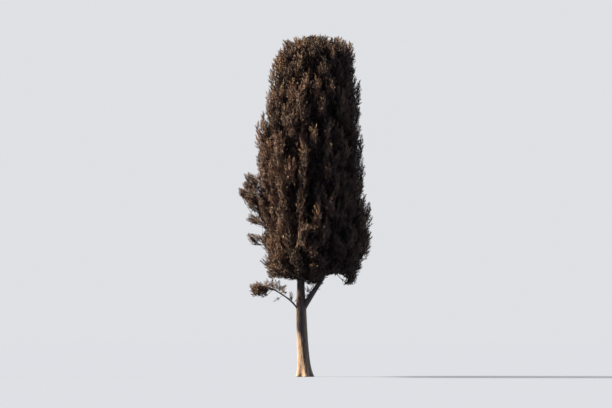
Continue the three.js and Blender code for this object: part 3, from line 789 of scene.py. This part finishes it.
clump_z, clump_angle, clump_radius = crown_targets(CLUMPS)
clump_angle = clump_angle + random.uniform(-CLUMP_TURN, CLUMP_TURN, CLUMPS)
clump_z = clump_z + random.uniform(-CLUMP_SHIFT, CLUMP_SHIFT, CLUMPS)
clump_at = on_crown(clump_z, clump_angle, clump_radius)
clump_lift = random.uniform(*CLUMP_LIFT, CLUMPS)
clump_tone = random.random(CLUMPS)
clump_hem = HEM_FOOT + HEM_RISE * random.random(CLUMPS)
clump_hem -= HEM_DIP * np.exp(-(((clump_at[:, 0] - HEM_DIP_AT) / HEM_DIP_WIDTH) ** 2))


def clump_of(points):
    """The clump that each point of the surface belongs to, and the way from its middle, upright."""
    away = (points[:, None] - clump_at) * [1, 1, 1 / CLUMP_STRETCH]
    nearest = np.argmin(np.linalg.norm(away, axis=-1), axis=1)
    return nearest, away[np.arange(len(points)), nearest]


def plumes_on_surface(count, spread, length, layer):
    """Plumes whose tips lie on the crown's surface, or a share of the way in from it."""
    z, angle, radius = crown_targets(count)
    outward = facing(angle)
    surface = on_crown(z, angle, radius)
    owner = mass_of(surface)
    depth = np.array([depth_in_cell(masses[m], p) for m, p in zip(owner, surface)])
    reach = np.array([masses[m]["reach"] for m in owner])
    seam = 1 - SEAM_DEPTH + SEAM_DEPTH * np.clip(depth / SEAM_WIDTH, 0, 1) ** SEAM_POWER
    share = reach * seam * random.uniform(*spread, count)
    clump, from_middle = clump_of(surface)
    off = np.linalg.norm(from_middle, axis=-1) / CLUMP_RADIUS
    sunk = CLUMP_DEPTH * np.clip(off, 0, CLUMP_LIMIT) ** 2 - clump_lift[clump]
    size = length * random.uniform(*LENGTH_SPREAD, count)
    level = 1 - np.clip((z - CROWN_FOOT) / (CROWN_FULL - CROWN_FOOT), 0, 1) ** 2
    aside = np.cross(UP, outward)
    lean = LEAST_LEAN + LEAN_SPREAD * random.random(count) + FOOT_LEAN * level
    grows = unit(
        UP * (1 - FOOT_LEVELLING * level)[:, None]
        + outward * lean[:, None]
        + aside * random.uniform(-ASIDE_SPREAD, ASIDE_SPREAD, count)[:, None]
        + from_middle * SPLAY
    )
    tip = on_crown(z, angle, radius * share - sunk)
    tip[:, 2] = np.maximum(tip[:, 2], clump_hem[clump] + size * grows[:, 2])
    ceiling = TREE_TOP - TOP_CLEARANCE - TOP_RAGGEDNESS * random.random(count) ** 2 - INNER_TOP_DROP * layer
    tip[:, 2] = np.minimum(tip[:, 2], ceiling)
    return {
        "tip": tip,
        "grows": grows,
        "size": size,
        "owner": owner,
        "clump": clump,
        "deep": np.clip(sunk / CLUMP_DEPTH, 0, 1) + layer,
        "fork": np.full((count, 3), np.nan),
        "stray": np.full(count, -1),
    }


def plumes_apart():
    """Short plumes that fan out at each stray, all round the low left tuft and on the sprigs."""
    found, forks = {"tip": [], "grows": [], "size": [], "owner": []}, []

    def add(tip, grows, lengths, owner):
        found["tip"].append(tip)
        found["grows"].append(grows)
        found["size"].append(random.uniform(*lengths))
        found["owner"].append(owner)

    for reach in np.array(STRAYS):
        outward = unit((reach - crown_centre(reach[2])) * [1, 1, 0])
        across = np.cross(UP, outward)
        owner = int(mass_of(reach[None])[0])
        hang = STRAY_HANG if reach[2] < STRAY_HANG_BELOW else 0
        for _ in range(STRAY_PLUMES):
            spread = unit(random.normal(size=3)) * random.random() ** 0.5
            back = outward * STRAY_DEPTH * (spread[0] - 1) + across * STRAY_BREADTH * spread[1]
            back = back + UP * STRAY_HEIGHT * (spread[2] - STRAY_DROOP) - UP * hang
            level = outward * random.uniform(*STRAY_OUT) + across * random.uniform(*STRAY_ASIDE)
            add(reach + back, unit(level + UP * random.uniform(*STRAY_CLIMB)), STRAY_LENGTHS, owner)
    lobes = unit(random.normal(size=(TUFT_LOBES, 3))) * TUFT_SHAPE * LOW_LEFT_REACH
    lobes[0] = LOW_LEFT_END - LOW_LEFT_CENTRE
    for k in range(TUFT_PLUMES):
        from_lobe = unit(random.normal(size=3)) * LOW_LEFT_REACH * random.uniform(*TUFT_SPREAD)
        away = lobes[k % TUFT_LOBES] + from_lobe
        grows = unit(unit(away) * TUFT_AWAY + TUFT_LEAN + random.normal(scale=TUFT_WILDNESS, size=3))
        add(LOW_LEFT_CENTRE + away, grows, TUFT_LENGTHS, len(masses) - 1)
    for sprig in SPRIGS:
        for t in np.linspace(sprig["low"], sprig["high"], sprig["count"]):
            grows = unit(random.normal(size=3) * SPRIG_WILDNESS + UP * SPRIG_CLIMB)
            fork = on_limb(masses[sprig["bough"]]["limb"], t)
            add(fork + grows * random.uniform(*SPRIG_REACH), grows, SPRIG_LENGTHS, sprig["bough"])
            forks.append(fork)
    found = {key: np.array(value) for key, value in found.items()}
    found["fork"] = np.full((len(found["size"]), 3), np.nan)
    found["fork"][-len(forks) :] = forks
    found["stray"] = np.full(len(found["size"]), -1)
    found["stray"][: len(STRAYS) * STRAY_PLUMES] = np.repeat(np.arange(len(STRAYS)), STRAY_PLUMES)
    found["clump"] = random.integers(0, CLUMPS, len(found["size"]))
    found["deep"] = np.zeros(len(found["size"]))
    return found


layers = [
    plumes_on_surface(OUTER_PLUMES, spread=(0.95, 1.06), length=OUTER_LENGTH, layer=0),
    plumes_on_surface(INNER_PLUMES, spread=(0.74, 0.86), length=INNER_LENGTH, layer=1),
    plumes_apart(),
]
plumes = {key: np.concatenate([layer[key] for layer in layers]) for key in layers[0]}
root = plumes["tip"] - plumes["grows"] * plumes["size"][:, None]
wanted = clear_of_gaps(plumes["tip"]) & clear_of_gaps((plumes["tip"] + root) / 2) & clear_of_gaps(root)
wanted &= clear_of_trunk(plumes["tip"]) & clear_of_trunk(root)
in_tuft = np.isnan(plumes["fork"][:, 0]) & (plumes["owner"] == len(masses) - 1)
wanted &= ~in_tuft | (np.linalg.norm(plumes["tip"] - LOW_LEFT_CENTRE, axis=-1) < LOW_LEFT_REACH)
plumes = {key: value[wanted] for key, value in plumes.items()}
root = root[wanted]


def forks_for(mass, roots, lengths):
    """The points where twigs leave a mass's stem, for these roots and lengths of plumes."""
    start = TUFT_START if mass["tuft"] else mass["entry"] + STEM_START
    end = max(mass["stem_end"], mass["entry"] + STEM_LEAST)
    stem = on_limb(mass["limb"], np.arange(start, end, STEM_STEP))
    to_root = roots[:, None] - stem
    if mass["tuft"]:
        ahead = to_root @ mass["limb"]["outward"]
        beside = np.linalg.norm(to_root[..., 1:], axis=-1)
        miss = np.abs(ahead - TUFT_AHEAD - TUFT_FAN * lengths[:, None] * beside)
    else:
        run = np.linalg.norm(to_root[..., :2], axis=-1)
        miss = np.abs(to_root[..., 2] - TWIG_STEEPNESS * run)
    return stem[np.argmin(miss, axis=1)]


fork = plumes["fork"]
for m, mass in enumerate(masses):
    mine = (plumes["owner"] == m) & np.isnan(fork[:, 0])
    fork[mine] = forks_for(mass, root[mine], plumes["size"][mine])


def twig_bends(start, end, grows):
    """The middle points of twigs, which let each one end the way its plume grows."""
    run = np.linalg.norm(end - start, axis=-1, keepdims=True)
    climbing = np.clip(LEVEL_BEND + (end - start)[:, 2:] / np.maximum(run, LEAST_RUN), LEAST_BEND, 1)
    return end - grows * TWIG_BEND * run * climbing


def on_twigs(start, bend, end, t):
    """Points of the twigs' curves."""
    return (1 - t) ** 2 * start + 2 * t * (1 - t) * bend + t**2 * end


# A stray is one shoot: its first plume grows from the stem, and the others fork from that one's twig.
stoutness = np.where(plumes["owner"] == len(masses) - 1, TUFT_STOUTNESS, 1.0)
for stray in range(len(STRAYS)):
    group = np.flatnonzero(plumes["stray"] == stray)
    lead, others = group[:1], group[1:]
    t = np.linspace(*STRAY_FORKS, len(others))[:, None]
    lead_bend = twig_bends(fork[lead], root[lead], plumes["grows"][lead])
    fork[others] = on_twigs(fork[lead], lead_bend, root[lead], t)
    stoutness[lead] = LEAD_STOUTNESS
    stoutness[others] = SIDE_STOUTNESS

bend = twig_bends(fork, root, plumes["grows"])
sweep = on_twigs(fork, bend, root, np.array(TWIG_PLACES)[:, None, None])
ending = [root + plumes["grows"] * (plumes["size"] * s)[:, None] for s in SHOOT_PLACES]
twig_lines = np.stack([*sweep, *ending], axis=1)
twig_bark = bark(
    "twig bark",
    strings=(0.28, 0.18, 0.11),
    grooves=(0.13, 0.08, 0.05),
    weathered=(0.3, 0.24, 0.17),
    hair_size=220,
    bump=0.4,
)
twigs = grow(
    "twigs",
    drawn_lines("twig lines", twig_lines, TWIG_RADII * stoutness[:, None]),
    limb_skin,
    {"Sides": 3, "Fibres Round": 3.0, "Strip Length": 0.2, "Groove Depth": 0.0, "Bark": twig_bark},
)
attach(twigs, "root")


# The sprays: feathery shoots clad in tiny overlapping scale leaves, which grow all round each plume's
# leading shoot and close up to a point at its tip. They are matt, brownish olive, and turn from dark
# in the crown's depth, partly dead foliage and partly painted shade, to golden at the youngest tips.
SPRAY_SHAPES = 6
SPRAY_SEED = 31
SPRAY_TURN_SEED = 11
SPRAY_SIZE = 0.26
SPRAY_SPREAD = (0.82, 1.18)
SPRAY_SHRINK = 0.36
SPRAY_LIFT = 0.12
SPRAYS_ON_PLUME = 10
BULK_LIMITS = (0.5, 1.2)
SIDE_GUIDE = [0.3, 0.1, 0]
CLAD_SHARE = 0.8
FOOT_TILT = 38
TIP_TILT = 10
TILT_SPREAD = 8
TURN_SPREAD = 0.4
SIDE_SPRAYS = 2
SIDE_PLACES = (0.62, 0.97)
SIDE_SPREAD = (0.8, 1.3)
SIDE_LEAN = 0.45
SIDE_DEEP_SHARE = 0.5
SIDE_SHOOTS = 7
SHOOTS_FROM = 0.1
SHOOTS_REACH = 0.68
SHOOT_TURN = 1.7
SHOOT_TILT = 30
SHOOT_TILT_SPREAD = 14
SHOOT_TWIST = 0.8
LEAD_BREADTHS = (0.075, 0.07)
LEAD_LENGTHS = (1.0, 0.96)
SHOOT_BREADTH = 0.085
SHOOT_NARROWEST = 0.8
SHOOT_WIDENING = 0.4
SHOOT_LENGTH = 0.52
SHOOT_SHRINK = 0.55
BELLY = 0.42
FOLD = 0.22
DEEP_OLIVE, GOLDEN_OLIVE, OLD_BROWN = 0, 3, 4
TONE_STEPS = [0.2, 0.6, 0.97]
TONE_SPREAD = 0.2
CLEFT = 0.55
DEEP_SHARE = 0.6
STRANGE_SHARE = 0.2
YOUNG_FROM = 0.75
YOUNG_SHARE = 0.3
YOUNG_DEPTH = 0.4

leaf, given, out = pattern_group(
    "scale leaf", {"Fresh": "Color", "Aged": "Color", "Mottle": "Float", "Scales": "Float"}
)
place = node(leaf, "ShaderNodeTexCoord").outputs["Object"]
mottle = node(leaf, "ShaderNodeTexNoise", {"Vector": place, "Scale": given.outputs["Mottle"], "Detail": 2.0})
aged = ranged(leaf, mottle.outputs[0], low=0.36, high=0.66)
blend = mixed(leaf, aged, given.outputs["Fresh"], given.outputs["Aged"])
scales = node(leaf, "ShaderNodeTexVoronoi", {"Vector": place, "Scale": given.outputs["Scales"]})
dry = ranged(leaf, mottle.outputs[0], first=0.56, last=0.8)
leaf.links.new(blend, out.inputs["Colour"])
leaf.links.new(dry, out.inputs["Roughness"])
leaf.links.new(scales.outputs["Distance"], out.inputs["Height"])


def foliage(name, fresh, aged):
    """A foliage material: two close tones of one colour, in patches, over a grain of scales."""
    colours = {"Fresh": fresh, "Aged": aged}
    sizes = {"Mottle": 5.0, "Scales": 260.0}
    return patterned(name, leaf, colours, sizes, gloss=0.3, bump=0.35, bump_depth=0.002)[0]


tones = {
    name.title(): foliage(name, fresh, aged)
    for name, fresh, aged in (
        ("deep olive foliage", (0.09, 0.071, 0.052), (0.064, 0.05, 0.037)),
        ("brown olive foliage", (0.185, 0.136, 0.1), (0.138, 0.1, 0.075)),
        ("bronze foliage", (0.275, 0.183, 0.128), (0.21, 0.138, 0.098)),
        ("golden olive foliage", (0.41, 0.305, 0.182), (0.305, 0.222, 0.135)),
        ("old brown foliage", (0.055, 0.037, 0.029), (0.038, 0.027, 0.022)),
    )
}


def spray_shape(name, seed, breadth):
    """One spray, one unit long: two leading blades and side shoots, each a narrow folded blade."""
    roll = dice(seed)
    corners, faces = [], []

    def blade(base, grows, face, long, wide):
        half = np.cross(grows, face) * wide / 2
        start = len(corners)
        belly = base + grows * long * BELLY + face * wide * FOLD
        corners.extend([base, belly + half, base + grows * long, belly - half])
        faces.extend([(start, start + 1, start + 2), (start, start + 2, start + 3)])

    for face, long, wide in zip(np.eye(3), LEAD_LENGTHS, LEAD_BREADTHS):
        blade(np.zeros(3), UP, face, long, wide * breadth)
    for i in range(SIDE_SHOOTS):
        high = SHOOTS_FROM + SHOOTS_REACH * (i + 0.5 * next(roll)) / SIDE_SHOOTS
        angle = i * math.pi + (next(roll) - 0.5) * SHOOT_TURN
        tilt = math.radians(SHOOT_TILT + SHOOT_TILT_SPREAD * next(roll))
        aside = facing(angle)
        across = np.cross(UP, aside)
        grows = UP * math.cos(tilt) + aside * math.sin(tilt)
        face = unit(np.cross(grows, across) + SHOOT_TWIST * (next(roll) - 0.5) * across)
        face = unit(face - grows * (face @ grows))
        wide = SHOOT_BREADTH * breadth * (SHOOT_NARROWEST + SHOOT_WIDENING * next(roll))
        blade(UP * high, grows, face, SHOOT_LENGTH * (1 - SHOOT_SHRINK * high), wide)
    mesh = bpy.data.meshes.new(name)
    mesh.from_pydata([corner.tolist() for corner in corners], [], faces)
    return bpy.data.objects.new(name, mesh)


spray_shapes = bpy.data.collections.new("spray shapes")
for i in range(SPRAY_SHAPES):
    spray_shapes.objects.link(spray_shape(f"spray shape {i}", i + SPRAY_SEED, 1.0))

# Spray growth sets a spray on every point, by the way it grows, its size and its shape, with a turn
# of its own from the seed, and then deals out the foliage colours by each spray's tone.
spray_growth, given, out = growth_tree(
    "spray growth", {"Sprays": "Collection", "Turn Seed": "Int", **dict.fromkeys(tones, "Material")}
)
kinds = node(
    spray_growth, "GeometryNodeCollectionInfo", {0: given.outputs["Sprays"], "Separate Children": True}
)
way = carried(spray_growth, "grows", "FLOAT_VECTOR")
upright = node(spray_growth, "FunctionNodeAlignRotationToVector", {"Vector": way}, axis="Z")
spin = node(
    spray_growth, "FunctionNodeRandomValue", {2: 0.0, 3: 2 * math.pi, "Seed": given.outputs["Turn Seed"]}
)
spin_angles = node(spray_growth, "ShaderNodeCombineXYZ", {2: spin.outputs[1]})
spin_turn = node(spray_growth, "FunctionNodeEulerToRotation", {0: spin_angles.outputs[0]})
posed = node(
    spray_growth,
    "FunctionNodeRotateRotation",
    {0: upright.outputs[0], 1: spin_turn.outputs[0]},
    rotation_space="LOCAL",
)
planted = node(
    spray_growth,
    "GeometryNodeInstanceOnPoints",
    {
        "Points": given.outputs[0],
        "Instance": kinds.outputs[0],
        "Pick Instance": True,
        "Instance Index": carried(spray_growth, "shape", "INT"),
        "Rotation": posed.outputs[0],
        "Scale": carried(spray_growth, "size", "FLOAT"),
    },
)
dealt = node(spray_growth, "GeometryNodeRealizeInstances", {0: planted.outputs[0]})
tone_of = carried(spray_growth, "tone", "INT")
for i, label in enumerate(tones):
    same = node(spray_growth, "FunctionNodeCompare", {2: tone_of, 3: i}, data_type="INT", operation="EQUAL")
    dealt = node(
        spray_growth,
        "GeometryNodeSetMaterial",
        {"Geometry": dealt.outputs[0], "Selection": same.outputs[0], "Material": given.outputs[label]},
    )
spray_growth.links.new(dealt.outputs[0], out.inputs[0])


def point_mesh(name, places, grows, sizes, shapes, tone):
    """Loose points for sprays, with what each spray needs."""
    mesh = bpy.data.meshes.new(name)
    mesh.vertices.add(len(places))
    mesh.vertices.foreach_set("co", places.ravel())
    give(mesh, "grows", "FLOAT_VECTOR", grows)
    give(mesh, "size", "FLOAT", sizes)
    give(mesh, "shape", "INT", shapes.astype(np.int32))
    give(mesh, "tone", "INT", tone.astype(np.int32))
    return mesh


count = len(root)
on_plume = (count, SPRAYS_ON_PLUME)
along = np.linspace(0, 1, SPRAYS_ON_PLUME)[None, :]
first = unit(np.cross(plumes["grows"], np.roll(plumes["grows"], 1, axis=1) + SIDE_GUIDE))
second = np.cross(plumes["grows"], first)
angle = GOLDEN_TURN * np.arange(SPRAYS_ON_PLUME) + random.uniform(0, 2 * np.pi, (count, 1))
angle = angle + random.uniform(-TURN_SPREAD, TURN_SPREAD, on_plume)
tilt = FOOT_TILT - (FOOT_TILT - TIP_TILT) * along
tilt = np.radians(tilt + random.uniform(-TILT_SPREAD, TILT_SPREAD, on_plume))
ring = first[:, None] * np.cos(angle)[..., None] + second[:, None] * np.sin(angle)[..., None]
spray_grows = plumes["grows"][:, None] * np.cos(tilt)[..., None] + ring * np.sin(tilt)[..., None]
spray_grows = unit(spray_grows + SPRAY_LIFT * UP)
bulk = np.clip(plumes["size"] / OUTER_LENGTH, *BULK_LIMITS)[:, None]
spray_sizes = SPRAY_SIZE * bulk * (1 - SPRAY_SHRINK * along) * random.uniform(*SPRAY_SPREAD, on_plume)
climb = plumes["size"][:, None] * CLAD_SHARE * along
spray_at = root[:, None] + plumes["grows"][:, None] * climb[..., None]
spray_at[:, -1] = plumes["tip"] - plumes["grows"] * spray_sizes[:, -1:]
spray_grows[:, -1] = plumes["grows"]

# Each clump leans to one colour. Deep plumes, in the clefts between clumps and in the inner layer, take
# deep olive or old brown: partly dead inner foliage, partly painted shade. Some sprays differ from their
# plume, and some of those near a plume's tip are young and golden.
warmth = clump_tone[plumes["clump"]] + random.uniform(-TONE_SPREAD, TONE_SPREAD, count)
plume_tone = np.digitize(warmth, TONE_STEPS)
# The dark tones of deep plumes are partly dead foliage and partly painted shade in the clefts between
# clumps.
shade_and_dead_tone = np.where(random.random(count) < DEEP_SHARE, DEEP_OLIVE, OLD_BROWN)
plume_tone = np.where(plumes["deep"] > CLEFT, shade_and_dead_tone, plume_tone)
spray_tone = np.repeat(plume_tone[:, None], SPRAYS_ON_PLUME, axis=1)
strange = random.random(on_plume) < STRANGE_SHARE
spray_tone = np.where(strange, random.choice(3, on_plume), spray_tone)
young = (along > YOUNG_FROM) & (random.random(on_plume) < YOUNG_SHARE)
young &= (plumes["deep"] < YOUNG_DEPTH)[:, None]
spray_tone = np.where(young, GOLDEN_OLIVE, spray_tone)

# Below its plume, each twig bears a few dark side sprays.
back = random.uniform(*SIDE_PLACES, (count, SIDE_SPRAYS))[..., None]
side_at = on_twigs(fork[:, None], bend[:, None], root[:, None], back)
side_grows = unit(plumes["grows"][:, None] + random.normal(scale=SIDE_LEAN, size=side_at.shape))
side_sizes = SPRAY_SIZE * bulk * random.uniform(*SIDE_SPREAD, (count, SIDE_SPRAYS))
side_tone = np.where(random.random((count, SIDE_SPRAYS)) < SIDE_DEEP_SHARE, DEEP_OLIVE, OLD_BROWN)

sprays = {
    "at": np.concatenate([spray_at.reshape(-1, 3), side_at.reshape(-1, 3)]),
    "grows": np.concatenate([spray_grows.reshape(-1, 3), side_grows.reshape(-1, 3)]),
    "size": np.concatenate([spray_sizes.ravel(), side_sizes.ravel()]),
    "tone": np.concatenate([spray_tone.ravel(), side_tone.ravel()]),
    "owner": np.concatenate([np.repeat(plumes["owner"], n) for n in (SPRAYS_ON_PLUME, SIDE_SPRAYS)]),
}
end = sprays["at"] + sprays["grows"] * sprays["size"][:, None]
kept = clear_of_gaps(end) & clear_of_gaps((end + sprays["at"]) / 2) & clear_of_trunk(end)
kept &= end[:, 2] < TREE_TOP
sprays = {key: value[kept] for key, value in sprays.items()}
sprays["shape"] = random.integers(0, SPRAY_SHAPES, len(sprays["size"]))
for m, mass in enumerate(masses):
    mine = sprays["owner"] == m
    carries = [sprays[key][mine] for key in ("at", "grows", "size", "shape", "tone")]
    piece = grow(
        f"sprays_{mass['name']}",
        point_mesh(mass["name"], *carries),
        spray_growth,
        {"Sprays": spray_shapes, "Turn Seed": SPRAY_TURN_SEED + m, **tones},
    )
    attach(piece, "root")
    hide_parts(f"foliage_{mass['name']}")


# The old foliage: brown, half-dead sprays, coarser and broader, that stay on the inner twigs and
# close the crown's depth, so that little sky shows through it.
OLD_SPRAYS = 8400
OLD_SHAPES = 3
OLD_SEED = 71
OLD_TURN_SEED = 5
OLD_BREADTH = 1.6
OLD_LENGTHS = (0.32, 0.48)
OLD_INNER_EVERY = 3
OLD_INNER_SHARE = 0.5
OLD_OUTER_SHARE = 0.7
OLD_SPREAD = (0.88, 1.08)
OLD_HEM = CROWN_FOOT + 0.2
OLD_CEILING = TREE_TOP - 1.0
OLD_DROP = 0.35
OLD_LEAN = (-0.3, 0.7)
OLD_ASIDE = 0.35
OLD_BROWN_SHARE = 0.7

old_shapes = bpy.data.collections.new("old spray shapes")
for i in range(OLD_SHAPES):
    old_shapes.objects.link(spray_shape(f"old spray shape {i}", i + OLD_SEED, OLD_BREADTH))
z, angle, radius = crown_targets(OLD_SPRAYS)
share = np.where(np.arange(OLD_SPRAYS) % OLD_INNER_EVERY == 0, OLD_INNER_SHARE, OLD_OUTER_SHARE)
share = share * random.uniform(*OLD_SPREAD, OLD_SPRAYS)
places = on_crown(z, angle, radius * share)
hem = OLD_HEM + HEM_RISE * random.random(OLD_SPRAYS)
places[:, 2] = np.clip(places[:, 2] - OLD_DROP, hem, OLD_CEILING)
lean = facing(angle) * random.uniform(*OLD_LEAN, (OLD_SPRAYS, 1))
grows = unit(UP + lean + random.uniform(-OLD_ASIDE, OLD_ASIDE, (OLD_SPRAYS, 3)))
lengths = random.uniform(*OLD_LENGTHS, OLD_SPRAYS)
kept = clear_of_gaps(places + grows * lengths[:, None]) & clear_of_trunk(places)
old_foliage = grow(
    "old_sprays",
    point_mesh(
        "old sprays",
        places[kept],
        grows[kept],
        lengths[kept],
        random.integers(0, OLD_SHAPES, kept.sum()),
        np.where(random.random(kept.sum()) < OLD_BROWN_SHARE, OLD_BROWN, DEEP_OLIVE),
    ),
    spray_growth,
    {"Sprays": old_shapes, "Turn Seed": OLD_TURN_SEED, **tones},
)
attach(old_foliage, "root")
for shapes in (spray_shapes, old_shapes):
    for pattern in list(shapes.objects):
        bpy.data.objects.remove(pattern)
    bpy.data.collections.remove(shapes)


# The studio: a wide pale floor that gives off a little light of its own, a low warm key light from
# the left that leaves the crown's right side dark, a faint cool light on that side, a dim blue fill
# under a pale backdrop, and a camera low down in front with a long lens.
FLOOR_HALF = 600
EYE = (0.05, -70, 1.3)
TARGET = (0.05, 0, 6.02)
LENS = 118
SIGHT = 2000

floor_mesh = bpy.data.meshes.new("floor")
floor_corners = [(x * FLOOR_HALF, y * FLOOR_HALF, 0) for x, y in ((-1, -1), (1, -1), (1, 1), (-1, 1))]
floor_mesh.from_pydata(floor_corners, [], [(0, 1, 2, 3)])
floor = bpy.data.objects.new("floor", floor_mesh)
bpy.context.scene.collection.objects.link(floor)
pale = bpy.data.materials.new("pale floor")
pale.use_nodes = True
pale.cycles.emission_sampling = "NONE"
for label, value in {
    "Emission Color": (0.38, 0.382, 0.4, 1),
    "Emission Strength": 1.0,
    "Base Color": (0.08, 0.097, 0.12, 1),
    "Roughness": 0.95,
    "Specular IOR Level": 0.0,
}.items():
    pale.node_tree.nodes["Principled BSDF"].inputs[label].default_value = value
floor_mesh.materials.append(pale)
floor.visible_diffuse = False


def sun(name, energy, softness, colour, tilt, turn):
    """A far lamp of one colour, tilted about X and turned about Y."""
    light = bpy.data.lights.new(name, "SUN")
    light.energy = energy
    light.angle = math.radians(softness)
    light.color = colour
    lamp = bpy.data.objects.new(name, light)
    lamp.rotation_euler = (math.radians(tilt), math.radians(turn), 0)
    bpy.context.scene.collection.objects.link(lamp)


sun("key", energy=20.0, softness=10, colour=(1.0, 0.83, 0.68), tilt=-3, turn=-48)
sun("rim", energy=1.2, softness=40, colour=(0.82, 0.89, 1.0), tilt=-12, turn=64)

world = bpy.data.worlds.new("studio")
bpy.context.scene.world = world
world.use_nodes = True
seen = node(world.node_tree, "ShaderNodeLightPath").outputs["Is Camera Ray"]
paper = mixed(world.node_tree, seen, (0.058, 0.068, 0.13, 1), (0.74, 0.75, 0.78, 1))
world.node_tree.links.new(paper, world.node_tree.nodes["Background"].inputs["Color"])

lens = bpy.data.cameras.new("camera")
lens.lens = LENS
lens.clip_end = SIGHT
camera = bpy.data.objects.new("camera", lens)
camera.location = EYE
aim = np.array(TARGET) - np.array(camera.location)
camera.rotation_euler = (math.pi / 2 + math.atan2(aim[2], aim[1]), 0, 0)
bpy.context.scene.collection.objects.link(camera)
bpy.context.scene.camera = camera
bpy.context.scene.view_settings.view_transform = "Standard"
